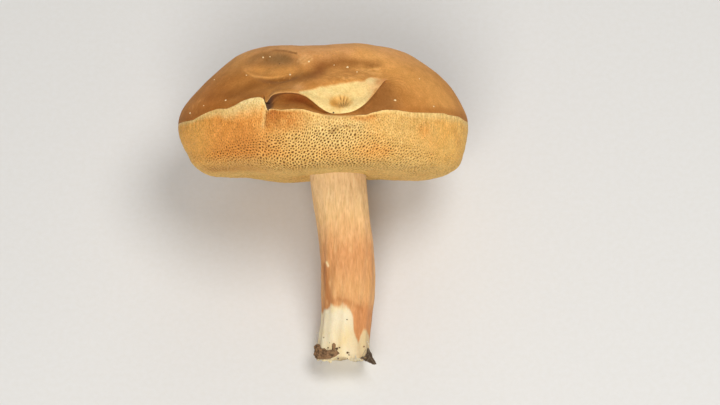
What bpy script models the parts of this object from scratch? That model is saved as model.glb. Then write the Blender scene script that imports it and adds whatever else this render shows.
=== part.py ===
"""A suede bolete as picked, lying on the back of its cap with the torn lip uppermost.

The pieces are shaped upright: the cap's axis is Z, height zero is the foot of the stem, and the
torn lip faces -Y.  An empty then lays the mushroom down.  A bearing is an angle round the cap's
axis: zero at the front, growing towards +X.  Lengths are metres and angles radians.
"""

import math

import bmesh
import bpy
import numpy as np
from mathutils import Matrix, Vector, geometry, noise

MM = 0.001
COLLECTION_NAME = "suede_bolete"
SEED = 11

# Outline of cap and tubes together as (radius, height), from the top of the cap down to the stem
HEAD_OUTLINE = [
    (0.0, 88.5), (10.0, 88.7), (18.0, 88.0), (24.5, 85.9), (30.4, 81.6), (35.1, 77.1), (38.5, 72.6),
    (40.3, 69.0), (40.7, 65.8), (40.3, 62.4), (39.2, 58.6), (36.9, 54.9), (31.5, 52.9), (20.0, 52.6),
    (8.6, 52.8),
]
RIM_HEIGHT = 67.0 * MM

# Height of the cap's margin by bearing in degrees: it climbs to a fold at the left of the lip
RIM_LINE = [
    (-180, 66.6), (-120, 66.3), (-77, 66.6), (-62, 66.6), (-55, 67.8), (-45, 69.1), (-40.5, 68.9),
    (-33.5, 71.0), (-26, 71.9), (-23.2, 68.2), (-20.5, 68.6), (-16.5, 68.1), (-11, 68.4), (-7, 68.2),
    (-3.5, 67.3), (0.5, 66.8), (7.5, 66.5), (17, 66.7), (19.5, 67.3), (25, 68.2), (37, 67.8),
    (56, 68.2), (68.5, 67.9), (75.5, 67.2), (120, 66.4),
]
FOLD_BEARING = math.radians(-23.5)
FOLD_DEPTH = 1.1 * MM

# Where cap and tubes meet inside the head: flat in the middle, then sloping to the margin
SEAM_HEIGHT = 65.0 * MM
SEAM_FLAT_RADIUS = 34.0 * MM
GAP = 0.3 * MM
FOLD_CLEARANCE = 0.6 * MM

# Lower edge of the torn lip by bearing in degrees; elsewhere just a line round the cap
LIP_EDGE = [
    (-180, 74.5), (-60, 75.0), (-30, 75.0), (-25, 73.6), (-23, 72.0), (-20, 71.7), (-15, 72.1),
    (-9, 71.8), (-6, 71.3), (-3, 70.0), (0, 68.5), (3, 67.3), (6, 67.0), (10.5, 67.4), (13.5, 68.1),
    (16.5, 69.3), (19.5, 71.0), (22.5, 73.0), (25.5, 74.9), (28.5, 76.6), (33, 77.9), (45, 78.0),
    (60, 76.5), (90, 75.0),
]
# How far the cap is set back under that edge, by bearing in degrees
LIP_RECESS = [
    (-180, 0.0), (-24.6, 0.0), (-23, 3.4), (-15, 4.6), (-6, 4.2), (2.7, 1.9), (5.5, 0.7), (9.5, 0.7),
    (13, 1.6), (17, 2.2), (24, 1.6), (35, 0.0),
]
# The set-back wall is deepest at this share of its way down, and slopes out again below it
RECESS_DEEPEST = 0.45
RECESS_RETURN = 0.7
LIP_LEFT = (-0.42, -0.33)
LIP_RIGHT = (0.32, 0.46)
LIP_STATION = 0.8
LIP_ROLL = 1.1 * MM
LIP_ROLL_HEIGHT = 0.4 * MM
LIP_ROLL_WIDTH = 1.6 * MM
LIP_BULGE = 2.0 * MM
LIP_BULGE_BEARING = 0.12
LIP_BULGE_HALF_TURN = 0.24
LIP_BULGE_HEIGHT = 2.5 * MM
LIP_BULGE_WIDTH = 5.0 * MM

# Valley that runs over the front of the cap above the lip, as (across, height)
VALLEY_LINE = [
    (-30.0, 73.5), (-20.5, 75.8), (-10.7, 78.4), (-0.9, 81.4), (8.0, 81.6), (17.4, 79.9), (25.0, 77.0),
]
VALLEY_DEPTH = 1.7 * MM
VALLEY_WIDTH = 3.6 * MM
VALLEY_LEFT = (-33 * MM, -20 * MM)
VALLEY_RIGHT = (14 * MM, 26 * MM)

# Hollows of the front, each with its middle and its half sizes across and upwards
DISH_MIDDLE = (6.5 * MM, 71.8 * MM)
DISH_SIZE = (6.0 * MM, 3.0 * MM)
DISH_DEPTH = 1.6 * MM
DIMPLE_MIDDLE = (-14.1 * MM, 82.0 * MM)
DIMPLE_SIZE = (10.0 * MM, 4.4 * MM)
DIMPLE_DEPTH = 2.3 * MM

# Pores, larger than life: one cell each, a raised net round a sunk middle
PORES = 1080
PORE_DEPTH = 1.4 * MM
PORE_CROWDING = 0.9
FIRST_PORE = 0.006
LAST_PORE = 0.985
PORE_SHAKE = 0.008
PORE_TURN_SHAKE = 0.02

# How far the tubes hang down to the left and the right of the stem, and over what width
LEFT_SAG = (0.8 * MM, -12 * MM, 9 * MM)
RIGHT_SAG = (0.4 * MM, 14 * MM, 8 * MM)
GOLDEN_ANGLE = math.pi * (3.0 - math.sqrt(5.0))

WAVE_HEIGHT = 0.45 * MM
HEAD_COLUMNS = 80
FRONT_CROWDING = 0.45
ROWS_ABOVE_LIP = 21
ROWS_BELOW_LIP = 5
UNDERSIDE_RADII = (39.0 * MM, SEAM_FLAT_RADIUS, 17.0 * MM, 0.0)
OUTSIDE_RADIUS = 50.0 * MM
OVERHANG_STEP = 0.6 * MM

# Stem, as (across, height, radius) of its middle line, from the foot up into the cap
STEM_LINE = [
    (5.6, 0.6, 7.2), (5.6, 3.5, 7.2), (6.1, 8.0, 7.1), (6.7, 12.5, 7.0), (7.1, 19.0, 7.5),
    (7.0, 26.0, 7.5), (6.5, 33.0, 7.5), (5.6, 40.0, 7.5), (4.8, 46.5, 7.7), (4.2, 51.5, 7.9),
    (3.7, 58.0, 8.1), (3.4, 64.7, 8.1),
]
STEM_SIDE_RESOLUTION = 14
STEM_ROWS = 34
FIBRE_RELIEF = 0.13 * MM
FOOT_TEAR = 1.2 * MM

SOIL_THICKNESS = 1.3 * MM
SOIL_HEIGHT = 4.2 * MM
SOIL_MIDDLE = 3.4 * MM
SOIL_BEARING = math.radians(-52)
SOIL_HALF_TURN = math.radians(44)

SCRAP_THICKNESS = 0.6 * MM
# Corners of the leaf scrap and of the hole in it, as (across, height)
SCRAP_OUTLINE = [
    (10.6, 0.9), (12.1, 3.7), (13.1, 4.4), (13.9, 2.2), (14.9, -0.4), (14.4, -0.8), (12.7, -0.1),
]
SCRAP_HOLE = ((12.1, 1.2), 0.45)
SCRAP_FRONT = 5.9 * MM

# The lying pose: the axis leans this far from upright, and the low side is pressed flat
LEAN = math.radians(-61.55)
REST_HEIGHT = 5.45 * MM


def smooth_step(value, low, high):
    """Zero below low, one above high, with a smooth rise between them."""
    share = np.clip((np.asarray(value, dtype=float) - low) / (high - low), 0.0, 1.0)
    return share * share * (3.0 - 2.0 * share)


def bump(value, centre, width):
    return np.exp(-(((np.asarray(value, dtype=float) - centre) / width) ** 2))


def smooth_line(points, steps):
    """A Catmull-Rom line through the points, with that many steps to each span."""
    points = np.array(points, dtype=float)
    padded = np.vstack([2 * points[0] - points[1], points, 2 * points[-1] - points[-2]])
    line = []
    for before, start, end, after in zip(padded, padded[1:], padded[2:], padded[3:]):
        for t in np.arange(steps) / steps:
            bend = 2 * before - 5 * start + 4 * end - after
            twist = 3 * start - before - 3 * end + after
            line.append(0.5 * (2 * start + (end - before) * t + bend * t * t + twist * t ** 3))
    line.append(points[-1])
    return np.array(line)


def table(points, value):
    """Reads a line of (place, size) points in millimetres at a value in metres."""
    places, sizes = np.array(points).T * MM
    return np.interp(value, places, sizes)


def round_table(points, bearing):
    """Reads a line of (bearing in degrees, size in millimetres) points right round the cap."""
    degrees, sizes = np.array(points).T
    return np.interp(np.degrees(bearing), degrees, sizes, period=360.0) * MM


HEAD_LINE = smooth_line(HEAD_OUTLINE, 12) * MM
HEAD_STEPS = np.hypot(*np.diff(HEAD_LINE, axis=0).T)
HEAD_LENGTHS = np.concatenate([[0.0], np.cumsum(HEAD_STEPS)])
HEAD_LENGTH = HEAD_LENGTHS[-1]
HEAD_SLOPES = np.gradient(HEAD_LINE, HEAD_LENGTHS, axis=0)


def head_outline(length):
    """Radius, height and outward direction at a distance along the outline from the cap's top."""
    radius = np.interp(length, HEAD_LENGTHS, HEAD_LINE[:, 0])
    height = np.interp(length, HEAD_LENGTHS, HEAD_LINE[:, 1])
    out_radial = np.interp(length, HEAD_LENGTHS, -HEAD_SLOPES[:, 1])
    out_upward = np.interp(length, HEAD_LENGTHS, HEAD_SLOPES[:, 0])
    return radius, height, out_radial, out_upward


def length_at(height):
    """Distance along the outline from the top of the cap down to a height on its side."""
    side = (HEAD_LINE[:, 0] > 25 * MM) & (HEAD_LINE[:, 1] > 56 * MM)
    return np.interp(-height, -HEAD_LINE[side, 1], HEAD_LENGTHS[side])


def rim_height(bearing):
    return round_table(RIM_LINE, bearing)


def rim_length(bearing):
    return length_at(rim_height(bearing))


def crowd_front(angle):
    """Packs evenly spaced bearings closer together round the front."""
    angle = (angle + math.pi) % (2 * math.pi) - math.pi
    return angle - FRONT_CROWDING * np.sin(angle)


def place(radius, bearing, height):
    return np.stack([radius * np.sin(bearing), -radius * np.cos(bearing), height], axis=-1)


def body_waves(bearing, height):
    """Gentle unevenness of the head's far side."""
    back = smooth_step(-np.cos(bearing), 0.0, 0.8)
    waves = np.cos(3 * bearing) + 0.3 * np.sin(5 * bearing + height / (9 * MM))
    return WAVE_HEIGHT * back * waves


def oval(across, height, middle, size):
    """Zero at the middle of an oval and one on its line."""
    return np.hypot((across - middle[0]) / size[0], (height - middle[1]) / size[1])


def cap_skin(bearing, station):
    """A point of the cap's skin: station 0 on top, LIP_STATION at the lip's edge, 1 at the margin."""
    edge_height = round_table(LIP_EDGE, bearing)
    above_lip = np.clip(station / LIP_STATION, 0.0, 1.0)
    below_lip = np.clip((station - LIP_STATION) / (1.0 - LIP_STATION), 0.0, 1.0)
    edge_length = length_at(edge_height)
    length = above_lip * edge_length + below_lip * (rim_length(bearing) - edge_length)
    radius, height, out_radial, out_upward = head_outline(length)
    across = radius * np.sin(bearing)
    front = smooth_step(np.cos(bearing), 0.15, 0.4)
    set_back = round_table(LIP_RECESS, bearing) * smooth_step(below_lip, 0.0, RECESS_DEEPEST)
    set_back *= 1.0 - RECESS_RETURN * smooth_step(below_lip, RECESS_DEEPEST, 1.0)
    above = height - edge_height
    lip_side = smooth_step(bearing, *LIP_LEFT) * (1.0 - smooth_step(bearing, *LIP_RIGHT))
    rolled_edge = LIP_ROLL * lip_side * bump(above, LIP_ROLL_HEIGHT, LIP_ROLL_WIDTH)
    lip = LIP_BULGE * bump(bearing, LIP_BULGE_BEARING, LIP_BULGE_HALF_TURN)
    lip *= bump(above, LIP_BULGE_HEIGHT, LIP_BULGE_WIDTH)
    valley = VALLEY_DEPTH * bump(height, table(VALLEY_LINE, across), VALLEY_WIDTH)
    valley *= smooth_step(across, *VALLEY_LEFT) * (1.0 - smooth_step(across, *VALLEY_RIGHT))
    dish = DISH_DEPTH * np.exp(-(oval(across, height, DISH_MIDDLE, DISH_SIZE) ** 2))
    dimple_reach = oval(across, height, DIMPLE_MIDDLE, DIMPLE_SIZE)
    dimple = DIMPLE_DEPTH * (1.0 - smooth_step(dimple_reach, 0.35, 1.05))
    relief = front * (rolled_edge + lip - valley - dish - dimple)
    relief += body_waves(bearing, height) * smooth_step(radius, 2 * MM, 20 * MM)
    radius = radius + relief * out_radial - set_back
    return radius, height + relief * out_upward


def tube_relief(bearing, radius, height):
    """Unevenness of the tubes' outer face, with the hollow to the right of the fold."""
    beside_fold = smooth_step(bearing, FOLD_BEARING - 0.02, FOLD_BEARING + 0.02)
    beside_fold *= 1.0 - smooth_step(bearing, FOLD_BEARING + 0.05, 0.0)
    hollow = FOLD_DEPTH * beside_fold * smooth_step(height, 60 * MM, 66 * MM)
    return body_waves(bearing, height) * smooth_step(radius, 12 * MM, 34 * MM) - hollow


def tube_skin(bearing, share):
    """A point of the tubes' outer face, share 0 at the cap's margin and 1 at the stem."""
    start = rim_length(bearing)
    length = start + share * (HEAD_LENGTH - start)
    radius, height, out_radial, out_upward = head_outline(length)
    across = radius * np.sin(bearing)
    relief = tube_relief(bearing, radius, height)
    sag = sum(size * bump(across, middle, width) for size, middle, width in (LEFT_SAG, RIGHT_SAG))
    sag *= smooth_step(radius, 9 * MM, 16 * MM) * smooth_step(-height, -62 * MM, -54 * MM)
    height = height - sag + relief * out_upward * smooth_step(share, 0.0, 0.15)
    return place(radius + relief * out_radial, bearing, height) + stem_shift(radius, height)


def stem_shift(radius, height):
    """Moves rings near the stem over to the stem's own middle, which is off the cap's axis."""
    heights, middles = np.array(STEM_LINE)[:, 1] * MM, np.array(STEM_LINE)[:, 0] * MM
    share = 1.0 - smooth_step(radius, 8.6 * MM, 32 * MM)
    across = share * np.interp(height, heights, middles)
    return np.stack([across, np.zeros_like(across), np.zeros_like(across)], axis=-1)


def tube_margin_radius(bearing):
    """Radius of the tubes' top edge, just under the cap's margin."""
    radius, height, out_radial, _ = head_outline(rim_length(bearing))
    return radius + tube_relief(bearing, radius, height) * out_radial


def seam_height(radius, bearing):
    """Height of the face where cap and tubes meet: flat inside, rising to the wavy margin."""
    slope_width = tube_margin_radius(bearing) - SEAM_FLAT_RADIUS
    share = np.clip((radius - SEAM_FLAT_RADIUS) / slope_width, 0.0, 1.0)
    return SEAM_HEIGHT + share * (rim_height(bearing) - SEAM_HEIGHT)


def turned_net(name, outline, stations):
    """Turns an outline of (radius, height) points; each vertex keeps its station along it."""
    mesh = bpy.data.meshes.new(name)
    edges = [(i, i + 1) for i in range(len(outline) - 1)]
    mesh.from_pydata([(radius, 0.0, height) for radius, height in outline], edges, [])
    mesh.attributes.new("station", "FLOAT", "POINT").data.foreach_set("value", stations)
    turned = bpy.data.objects.new(name, mesh)
    bpy.context.scene.collection.objects.link(turned)
    screw = turned.modifiers.new("turn", "SCREW")
    screw.steps = HEAD_COLUMNS
    screw.render_steps = HEAD_COLUMNS
    screw.use_merge_vertices = True
    screw.merge_threshold = 0.01 * MM
    evaluated = turned.evaluated_get(bpy.context.evaluated_depsgraph_get())
    net = bpy.data.meshes.new_from_object(evaluated)
    bpy.data.objects.remove(turned)
    count = len(net.vertices)
    spots = np.empty(count * 3)
    net.vertices.foreach_get("co", spots)
    spots = spots.reshape(-1, 3)
    found = np.empty(count)
    net.attributes["station"].data.foreach_get("value", found)
    bearings = crowd_front(np.arctan2(spots[:, 0], -spots[:, 1]))
    return net, bearings, found


def finish(name, mesh, colour, roughness, lay):
    """Welds a mesh, presses its low side flat, and makes it an object under the lying empty."""
    shape = bmesh.new()
    shape.from_mesh(mesh)
    bmesh.ops.remove_doubles(shape, verts=shape.verts, dist=0.001 * MM)
    bmesh.ops.triangulate(shape, faces=shape.faces)
    bmesh.ops.recalc_face_normals(shape, faces=shape.faces)
    up = lay.to_3x3().inverted() @ Vector((0.0, 0.0, 1.0))
    for vertex in shape.verts:
        height = (lay @ vertex.co).z
        if height < 0.0:
            vertex.co -= up * height
    finished = bpy.data.meshes.new(name)
    shape.to_mesh(finished)
    shape.free()
    finished.shade_smooth()
    finished.set_sharp_from_angle(angle=math.radians(40))
    piece = bpy.data.objects.new(name, finished)
    piece.data.materials.append(plain_material(name, colour, roughness))
    bpy.data.collections[COLLECTION_NAME].objects.link(piece)
    piece.parent = bpy.data.objects["lying_pose"]
    return piece


def plain_material(name, colour, roughness):
    material = bpy.data.materials.new(name)
    material.use_nodes = True
    shader = material.node_tree.nodes["Principled BSDF"]
    shader.inputs["Base Color"].default_value = (*colour, 1.0)
    shader.inputs["Roughness"].default_value = roughness
    shader.inputs["Metallic"].default_value = 0.0
    return material


def make_cap(lay):
    """The cap: a turned dome whose skin and underside are then moved by the formulas."""
    above_lip = LIP_STATION * (1.0 - (1.0 - np.linspace(0.0, 1.0, ROWS_ABOVE_LIP)) ** 1.2)
    below_lip = np.linspace(LIP_STATION, 1.0, ROWS_BELOW_LIP + 1)[1:]
    rows = np.concatenate([above_lip, below_lip])
    radius, height, _, _ = head_outline(rows * rim_length(math.pi))
    outline = list(zip(radius, height)) + [(ring, SEAM_HEIGHT) for ring in UNDERSIDE_RADII]
    stations = list(rows) + [2.0 + ring for ring in (OUTSIDE_RADIUS, *UNDERSIDE_RADII[1:])]
    net, bearing, station = turned_net("cap", outline, stations)
    skin_radius, skin_height = cap_skin(bearing, np.minimum(station, 1.0))
    overhang_radius = np.minimum(skin_radius - OVERHANG_STEP, tube_margin_radius(bearing))
    under_radius = np.where(station == 1.0, skin_radius, np.minimum(station - 2.0, overhang_radius))
    seam = seam_height(under_radius, bearing) + GAP + FOLD_CLEARANCE * bump(bearing, FOLD_BEARING, 0.06)
    below = station >= 1.0
    spots = place(np.where(below, under_radius, skin_radius), bearing, np.where(below, seam, skin_height))
    net.vertices.foreach_set("co", spots.ravel())
    return finish("cap", net, (0.46, 0.20, 0.07), 0.85, lay)


def unroll_table():
    """Share along the tubes' face against the radius of its flat, shape-keeping map and its area."""
    share = np.linspace(0.0, 1.0, 400)
    start = rim_length(math.pi)
    radius = head_outline(start + share * (HEAD_LENGTH - start))[0]
    step = (HEAD_LENGTH - start) / (len(share) - 1)
    stretch = np.cumsum(step / radius)
    crowding = 1.0 + PORE_CROWDING * (1.0 - share)
    area = np.cumsum(radius * crowding)
    return share, np.exp(stretch[0] - stretch), area / area[-1]


def pore_middles():
    """Bearings and shares of the pore middles: sunflower order, a little shaken."""
    share, _, area = unroll_table()
    shake = np.random.default_rng(SEED)
    order = np.arange(PORES)
    shares = np.interp(np.linspace(FIRST_PORE, 1.0 - FIRST_PORE, PORES), area, share)
    shares += shake.uniform(-PORE_SHAKE, PORE_SHAKE, PORES) * smooth_step(shares, 0.02, 0.08)
    bearings = order * GOLDEN_ANGLE + shake.uniform(-PORE_TURN_SHAKE, PORE_TURN_SHAKE, PORES)
    return bearings, np.clip(shares, FIRST_PORE, LAST_PORE)


def make_tube_layer(lay):
    """The tubes: a net of pores outside, and plain faces against the cap and the stem."""
    share_steps, map_radius, _ = unroll_table()
    ring = crowd_front(2 * math.pi * np.arange(HEAD_COLUMNS) / HEAD_COLUMNS)
    bearings, shares = pore_middles()
    bearings = np.concatenate([bearings, ring, ring])
    shares = np.concatenate([shares, np.zeros(HEAD_COLUMNS), np.ones(HEAD_COLUMNS)])
    reach = np.interp(shares, share_steps, map_radius)
    flat = np.stack([reach * np.sin(bearings), -reach * np.cos(bearings)], axis=-1)
    filled = geometry.delaunay_2d_cdt([Vector(spot) for spot in flat], [], [], 0, 1e-7)
    source = [origins[0] for origins in filled[3]]
    triangles = np.array([[source[corner] for corner in face] for face in filled[2]])
    stem_ring = PORES + HEAD_COLUMNS
    triangles = triangles[(triangles < stem_ring).any(axis=1)]

    middles = flat[triangles].mean(axis=1)
    net_bearings = np.arctan2(middles[:, 0], -middles[:, 1])
    net_shares = np.interp(-np.hypot(*middles.T), -map_radius, share_steps)
    net = tube_skin(net_bearings, net_shares)
    sunk = sunk_middles(bearings, shares, lay)
    left_of = {}
    for number, (a, b, c) in enumerate(triangles):
        left_of.update({(a, b): number, (b, c): number, (c, a): number})
    faces = []
    for (start, end), number in left_of.items():
        wall = len(sunk) + number
        if (end, start) in left_of:
            faces.append((start, len(sunk) + left_of[(end, start)], wall))
        else:
            faces.append((start, end, wall))
    sheet = bpy.data.meshes.new("pores")
    sheet.from_pydata(np.vstack([sunk, net]).tolist(), [], faces)
    shape = bmesh.new()
    shape.from_mesh(sheet)
    shape.from_mesh(tube_inside())
    joined = bpy.data.meshes.new("tube_layer")
    shape.to_mesh(joined)
    shape.free()
    return finish("tube_layer", joined, (0.64, 0.38, 0.13), 0.8, lay)


def sunk_middles(bearings, shares, lay):
    """Pore middles, sunk below the net except along the two rings and where the head is pressed."""
    surface = tube_skin(bearings, shares)
    nearby = 0.002
    along = tube_skin(bearings, shares + nearby) - tube_skin(bearings, shares - nearby)
    around = tube_skin(bearings + nearby, shares) - tube_skin(bearings - nearby, shares)
    inward = np.cross(along, around)
    inward /= np.linalg.norm(inward, axis=1, keepdims=True)
    inward *= np.sign((inward * (np.array([0.0, 0.0, RIM_HEIGHT]) - surface)).sum(axis=1, keepdims=True))
    world_height = surface @ np.array(lay.to_3x3())[2] + lay.translation.z
    depth = PORE_DEPTH * (0.3 + 0.7 * smooth_step(shares, 0.01, 0.2))
    depth = depth * (shares > 0.0) * (shares < 1.0) * smooth_step(world_height, 0.0, 0.8 * MM)
    return surface + inward * depth[:, None]


def tube_inside():
    """Faces of the tube layer against the cap and round the stem, which no one sees."""
    inner, underside = HEAD_LINE[-1]
    outline = [
        (UNDERSIDE_RADII[0], RIM_HEIGHT), (SEAM_FLAT_RADIUS, SEAM_HEIGHT), (inner, SEAM_HEIGHT),
        (inner, (SEAM_HEIGHT + underside) / 2), (inner, underside),
    ]
    margin, stem_edge = 0.0, 1.0
    net, bearing, station = turned_net("tube_inside", outline, (margin, 0.3, 0.6, 0.8, stem_edge))
    bearing = bearing[:, None]
    net_spots = np.array([vertex.co for vertex in net.vertices])
    radius = np.hypot(net_spots[:, :1], net_spots[:, 1:2])
    inside = place(radius, bearing, net_spots[:, 2:])[:, 0] + stem_shift(radius, net_spots[:, 2:])[:, 0]
    rim = tube_skin(bearing[:, 0], np.zeros(len(bearing)))
    foot = tube_skin(bearing[:, 0], np.ones(len(bearing)))
    spots = np.where(station[:, None] == margin, rim, inside)
    spots = np.where(station[:, None] == stem_edge, foot, spots)
    net.vertices.foreach_set("co", spots.ravel())
    return net


def make_stem(lay):
    """The stem: a bevelled curve down its middle line, then fibres and a torn foot."""
    line = smooth_line(STEM_LINE, 8) * MM
    rows = np.linspace(0, len(line) - 1, STEM_ROWS).round().astype(int)
    curve = bpy.data.curves.new("stem", "CURVE")
    curve.dimensions = "3D"
    curve.bevel_depth = 1.0
    curve.bevel_resolution = STEM_SIDE_RESOLUTION
    curve.use_fill_caps = True
    spline = curve.splines.new("POLY")
    spline.points.add(len(rows) - 1)
    for point, row in zip(spline.points, rows):
        across, height, radius = line[row]
        point.co = (across, 0.0, height, 1.0)
        point.radius = radius
    guide = bpy.data.objects.new("stem", curve)
    bpy.context.scene.collection.objects.link(guide)
    evaluated = guide.evaluated_get(bpy.context.evaluated_depsgraph_get())
    mesh = bpy.data.meshes.new_from_object(evaluated)
    bpy.data.objects.remove(guide)
    top = line[-1, 1] - 2 * MM
    for vertex in mesh.vertices:
        middle = np.interp(vertex.co.z, line[:, 1], line[:, 0])
        turn = math.atan2(vertex.co.x - middle, -vertex.co.y)
        ridge = math.sin(13 * turn + 3 * math.sin(vertex.co.z / (9 * MM))) + 0.6 * math.sin(7 * turn + 1.0)
        fade = float(smooth_step(-vertex.co.z, -52 * MM, -46 * MM))
        vertex.co.x += FIBRE_RELIEF * ridge * fade * math.sin(turn)
        vertex.co.y -= FIBRE_RELIEF * ridge * fade * math.cos(turn)
        if vertex.co.z < 2 * MM:
            torn = noise.noise(Vector((vertex.co.x, vertex.co.y, 0.0)) / (3.1 * MM))
            notch = float(bump(vertex.co.x, 8.0 * MM, 2.6 * MM))
            vertex.co.z += FOOT_TEAR * (torn + notch - 0.3)
    return finish("stem", mesh, (0.60, 0.34, 0.15), 0.75, lay)


def stem_at(height):
    """Middle and radius of the stem at a height."""
    line = smooth_line(STEM_LINE, 8) * MM
    return np.interp(height, line[:, 1], line[:, 0]), np.interp(height, line[:, 1], line[:, 2])


def make_soil_crust(lay):
    """A lumpy crumb of soil wrapped round the left of the stem's foot."""
    shape = bmesh.new()
    bmesh.ops.create_icosphere(shape, subdivisions=3, radius=1.0)
    for vertex in shape.verts:
        lump = noise.noise(vertex.co * 2.6 + Vector((3.0, 1.0, 7.0)))
        spread = SOIL_HEIGHT / 2 * (1.0 + 0.6 * lump) * (1.0 - 0.25 * vertex.co.x)
        height = SOIL_MIDDLE + spread * vertex.co.z
        middle, radius = stem_at(height)
        turn = SOIL_BEARING + SOIL_HALF_TURN * vertex.co.x
        grain = noise.noise(vertex.co * 4.3)
        thickness = SOIL_THICKNESS * (0.5 + 0.5 * vertex.co.y) * (1.0 + 0.5 * grain)
        reach = radius + 2 * FIBRE_RELIEF + GAP + thickness
        vertex.co = Vector((middle + reach * math.sin(turn), -reach * math.cos(turn), height))
    mesh = bpy.data.meshes.new("soil_crust")
    shape.to_mesh(mesh)
    shape.free()
    return finish("soil_crust", mesh, (0.14, 0.09, 0.05), 0.95, lay)


def make_leaf_scrap(lay):
    """A thin three-cornered scrap of leaf with a hole, standing off the right of the foot."""
    curve = bpy.data.curves.new("leaf_scrap", "CURVE")
    curve.dimensions = "2D"
    curve.fill_mode = "BOTH"
    curve.extrude = SCRAP_THICKNESS / 2
    (hole_across, hole_height), hole_radius = SCRAP_HOLE
    turns = [2 * math.pi * side / 8 for side in range(8)]
    hole = [(hole_across + hole_radius * math.cos(t), hole_height + hole_radius * math.sin(t)) for t in turns]
    for corners in (SCRAP_OUTLINE, hole):
        spline = curve.splines.new("POLY")
        spline.points.add(len(corners) - 1)
        spline.use_cyclic_u = True
        for point, (across, height) in zip(spline.points, corners):
            point.co = (across * MM, height * MM, 0.0, 1.0)
    guide = bpy.data.objects.new("leaf_scrap", curve)
    bpy.context.scene.collection.objects.link(guide)
    evaluated = guide.evaluated_get(bpy.context.evaluated_depsgraph_get())
    mesh = bpy.data.meshes.new_from_object(evaluated)
    bpy.data.objects.remove(guide)
    mesh.transform(Matrix.Translation((0.0, -SCRAP_FRONT, 0.0)) @ Matrix.Rotation(math.pi / 2, 4, "X"))
    return finish("leaf_scrap", mesh, (0.10, 0.07, 0.05), 0.9, lay)


def clear_scene():
    for item in list(bpy.data.objects):
        bpy.data.objects.remove(item)


def main():
    clear_scene()
    pieces = bpy.data.collections.new(COLLECTION_NAME)
    bpy.context.scene.collection.children.link(pieces)
    lay = Matrix.Translation((0.0, 0.0, REST_HEIGHT)) @ Matrix.Rotation(LEAN, 4, "X")
    pose = bpy.data.objects.new("lying_pose", None)
    pieces.objects.link(pose)
    pose.matrix_world = lay
    makers = (make_cap, make_tube_layer, make_stem, make_soil_crust, make_leaf_scrap)
    laid = [lay @ vertex.co for make in makers for vertex in make(lay).data.vertices]
    middle = (np.min(laid, axis=0) + np.max(laid, axis=0)) / 2
    pose.matrix_world = Matrix.Translation((-middle[0], -middle[1], 0.0)) @ lay
    bpy.context.view_layer.update()


main()
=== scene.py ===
"""Dresses the packed suede bolete in its skin, pores, fibres and soil, and lays it on a pale floor.

The mushroom is shaped upright, as it grew: the cap's axis is Z, height zero is the foot of the stem and
the torn lip faces -Y. A bearing is an angle round that axis, zero at the front and growing towards +X.
Lengths are millimetres until a piece is laid on the back of the cap, as the packed model lies, in metres.
"""

import itertools
import math

import bmesh
import bpy
import numpy as np
from bpy.props import FloatProperty, FloatVectorProperty, IntProperty, PointerProperty
from mathutils import Matrix, Vector, geometry


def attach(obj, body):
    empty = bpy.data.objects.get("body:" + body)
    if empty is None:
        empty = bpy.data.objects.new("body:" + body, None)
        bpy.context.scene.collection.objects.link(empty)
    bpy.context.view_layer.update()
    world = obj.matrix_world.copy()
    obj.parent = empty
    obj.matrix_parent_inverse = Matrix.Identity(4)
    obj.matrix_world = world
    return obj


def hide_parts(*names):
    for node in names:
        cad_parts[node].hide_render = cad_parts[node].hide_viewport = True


bl_info = {
    "name": "Suede Bolete",
    "version": (1, 0, 0),
    "blender": (4, 5, 0),
    "location": "View3D > Sidebar > Bolete",
    "description": "Makes a picked suede bolete with a torn lip, open pores and a felted foot",
    "category": "Add Mesh",
}

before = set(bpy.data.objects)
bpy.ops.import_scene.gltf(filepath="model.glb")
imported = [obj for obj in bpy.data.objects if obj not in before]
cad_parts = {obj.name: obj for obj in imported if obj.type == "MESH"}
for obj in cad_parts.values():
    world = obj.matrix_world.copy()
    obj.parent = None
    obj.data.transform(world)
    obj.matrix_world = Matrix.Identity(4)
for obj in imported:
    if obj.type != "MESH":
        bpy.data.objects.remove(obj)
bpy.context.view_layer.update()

MM = 0.001
# Points along each side of the cube of random values behind the noise
LATTICE = 32

# The lying pose: how far the axis leans from upright, and where the upright origin comes to lie
LEAN = math.radians(-61.55)
ORIGIN = Vector((0.0, -41.5509, 5.45)) * MM
LAY = Matrix.Translation(ORIGIN) @ Matrix.Rotation(LEAN, 4, "X")

# The view from the front, in the upright mushroom's own directions and millimetres
AIM = np.array([10.35, 0.0, 44.8])
VIEW_DISTANCE = 1300.0
VIEW_WIDTH = 202.2
VIEW_RISE = math.radians(-3.0)
VIEW_BACK = np.array([0.0, -math.cos(VIEW_RISE), math.sin(VIEW_RISE)])
VIEW_UP = np.array([0.0, math.sin(VIEW_RISE), math.cos(VIEW_RISE)])
SENSOR_WIDTH = 36.0

# Outline of cap and tubes together as (radius, height), from the top of the cap down to the stem
HEAD_OUTLINE = [
    (0.0, 88.5), (10.0, 88.7), (18.0, 88.0), (24.5, 85.9), (30.4, 81.6), (35.1, 77.1), (38.5, 72.6),
    (40.3, 69.0), (40.7, 65.8), (40.3, 62.4), (39.2, 58.6), (36.9, 54.9), (31.5, 52.9), (20.0, 52.6),
    (8.6, 52.8),
]
RIM_HEIGHT = 67.0

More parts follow.
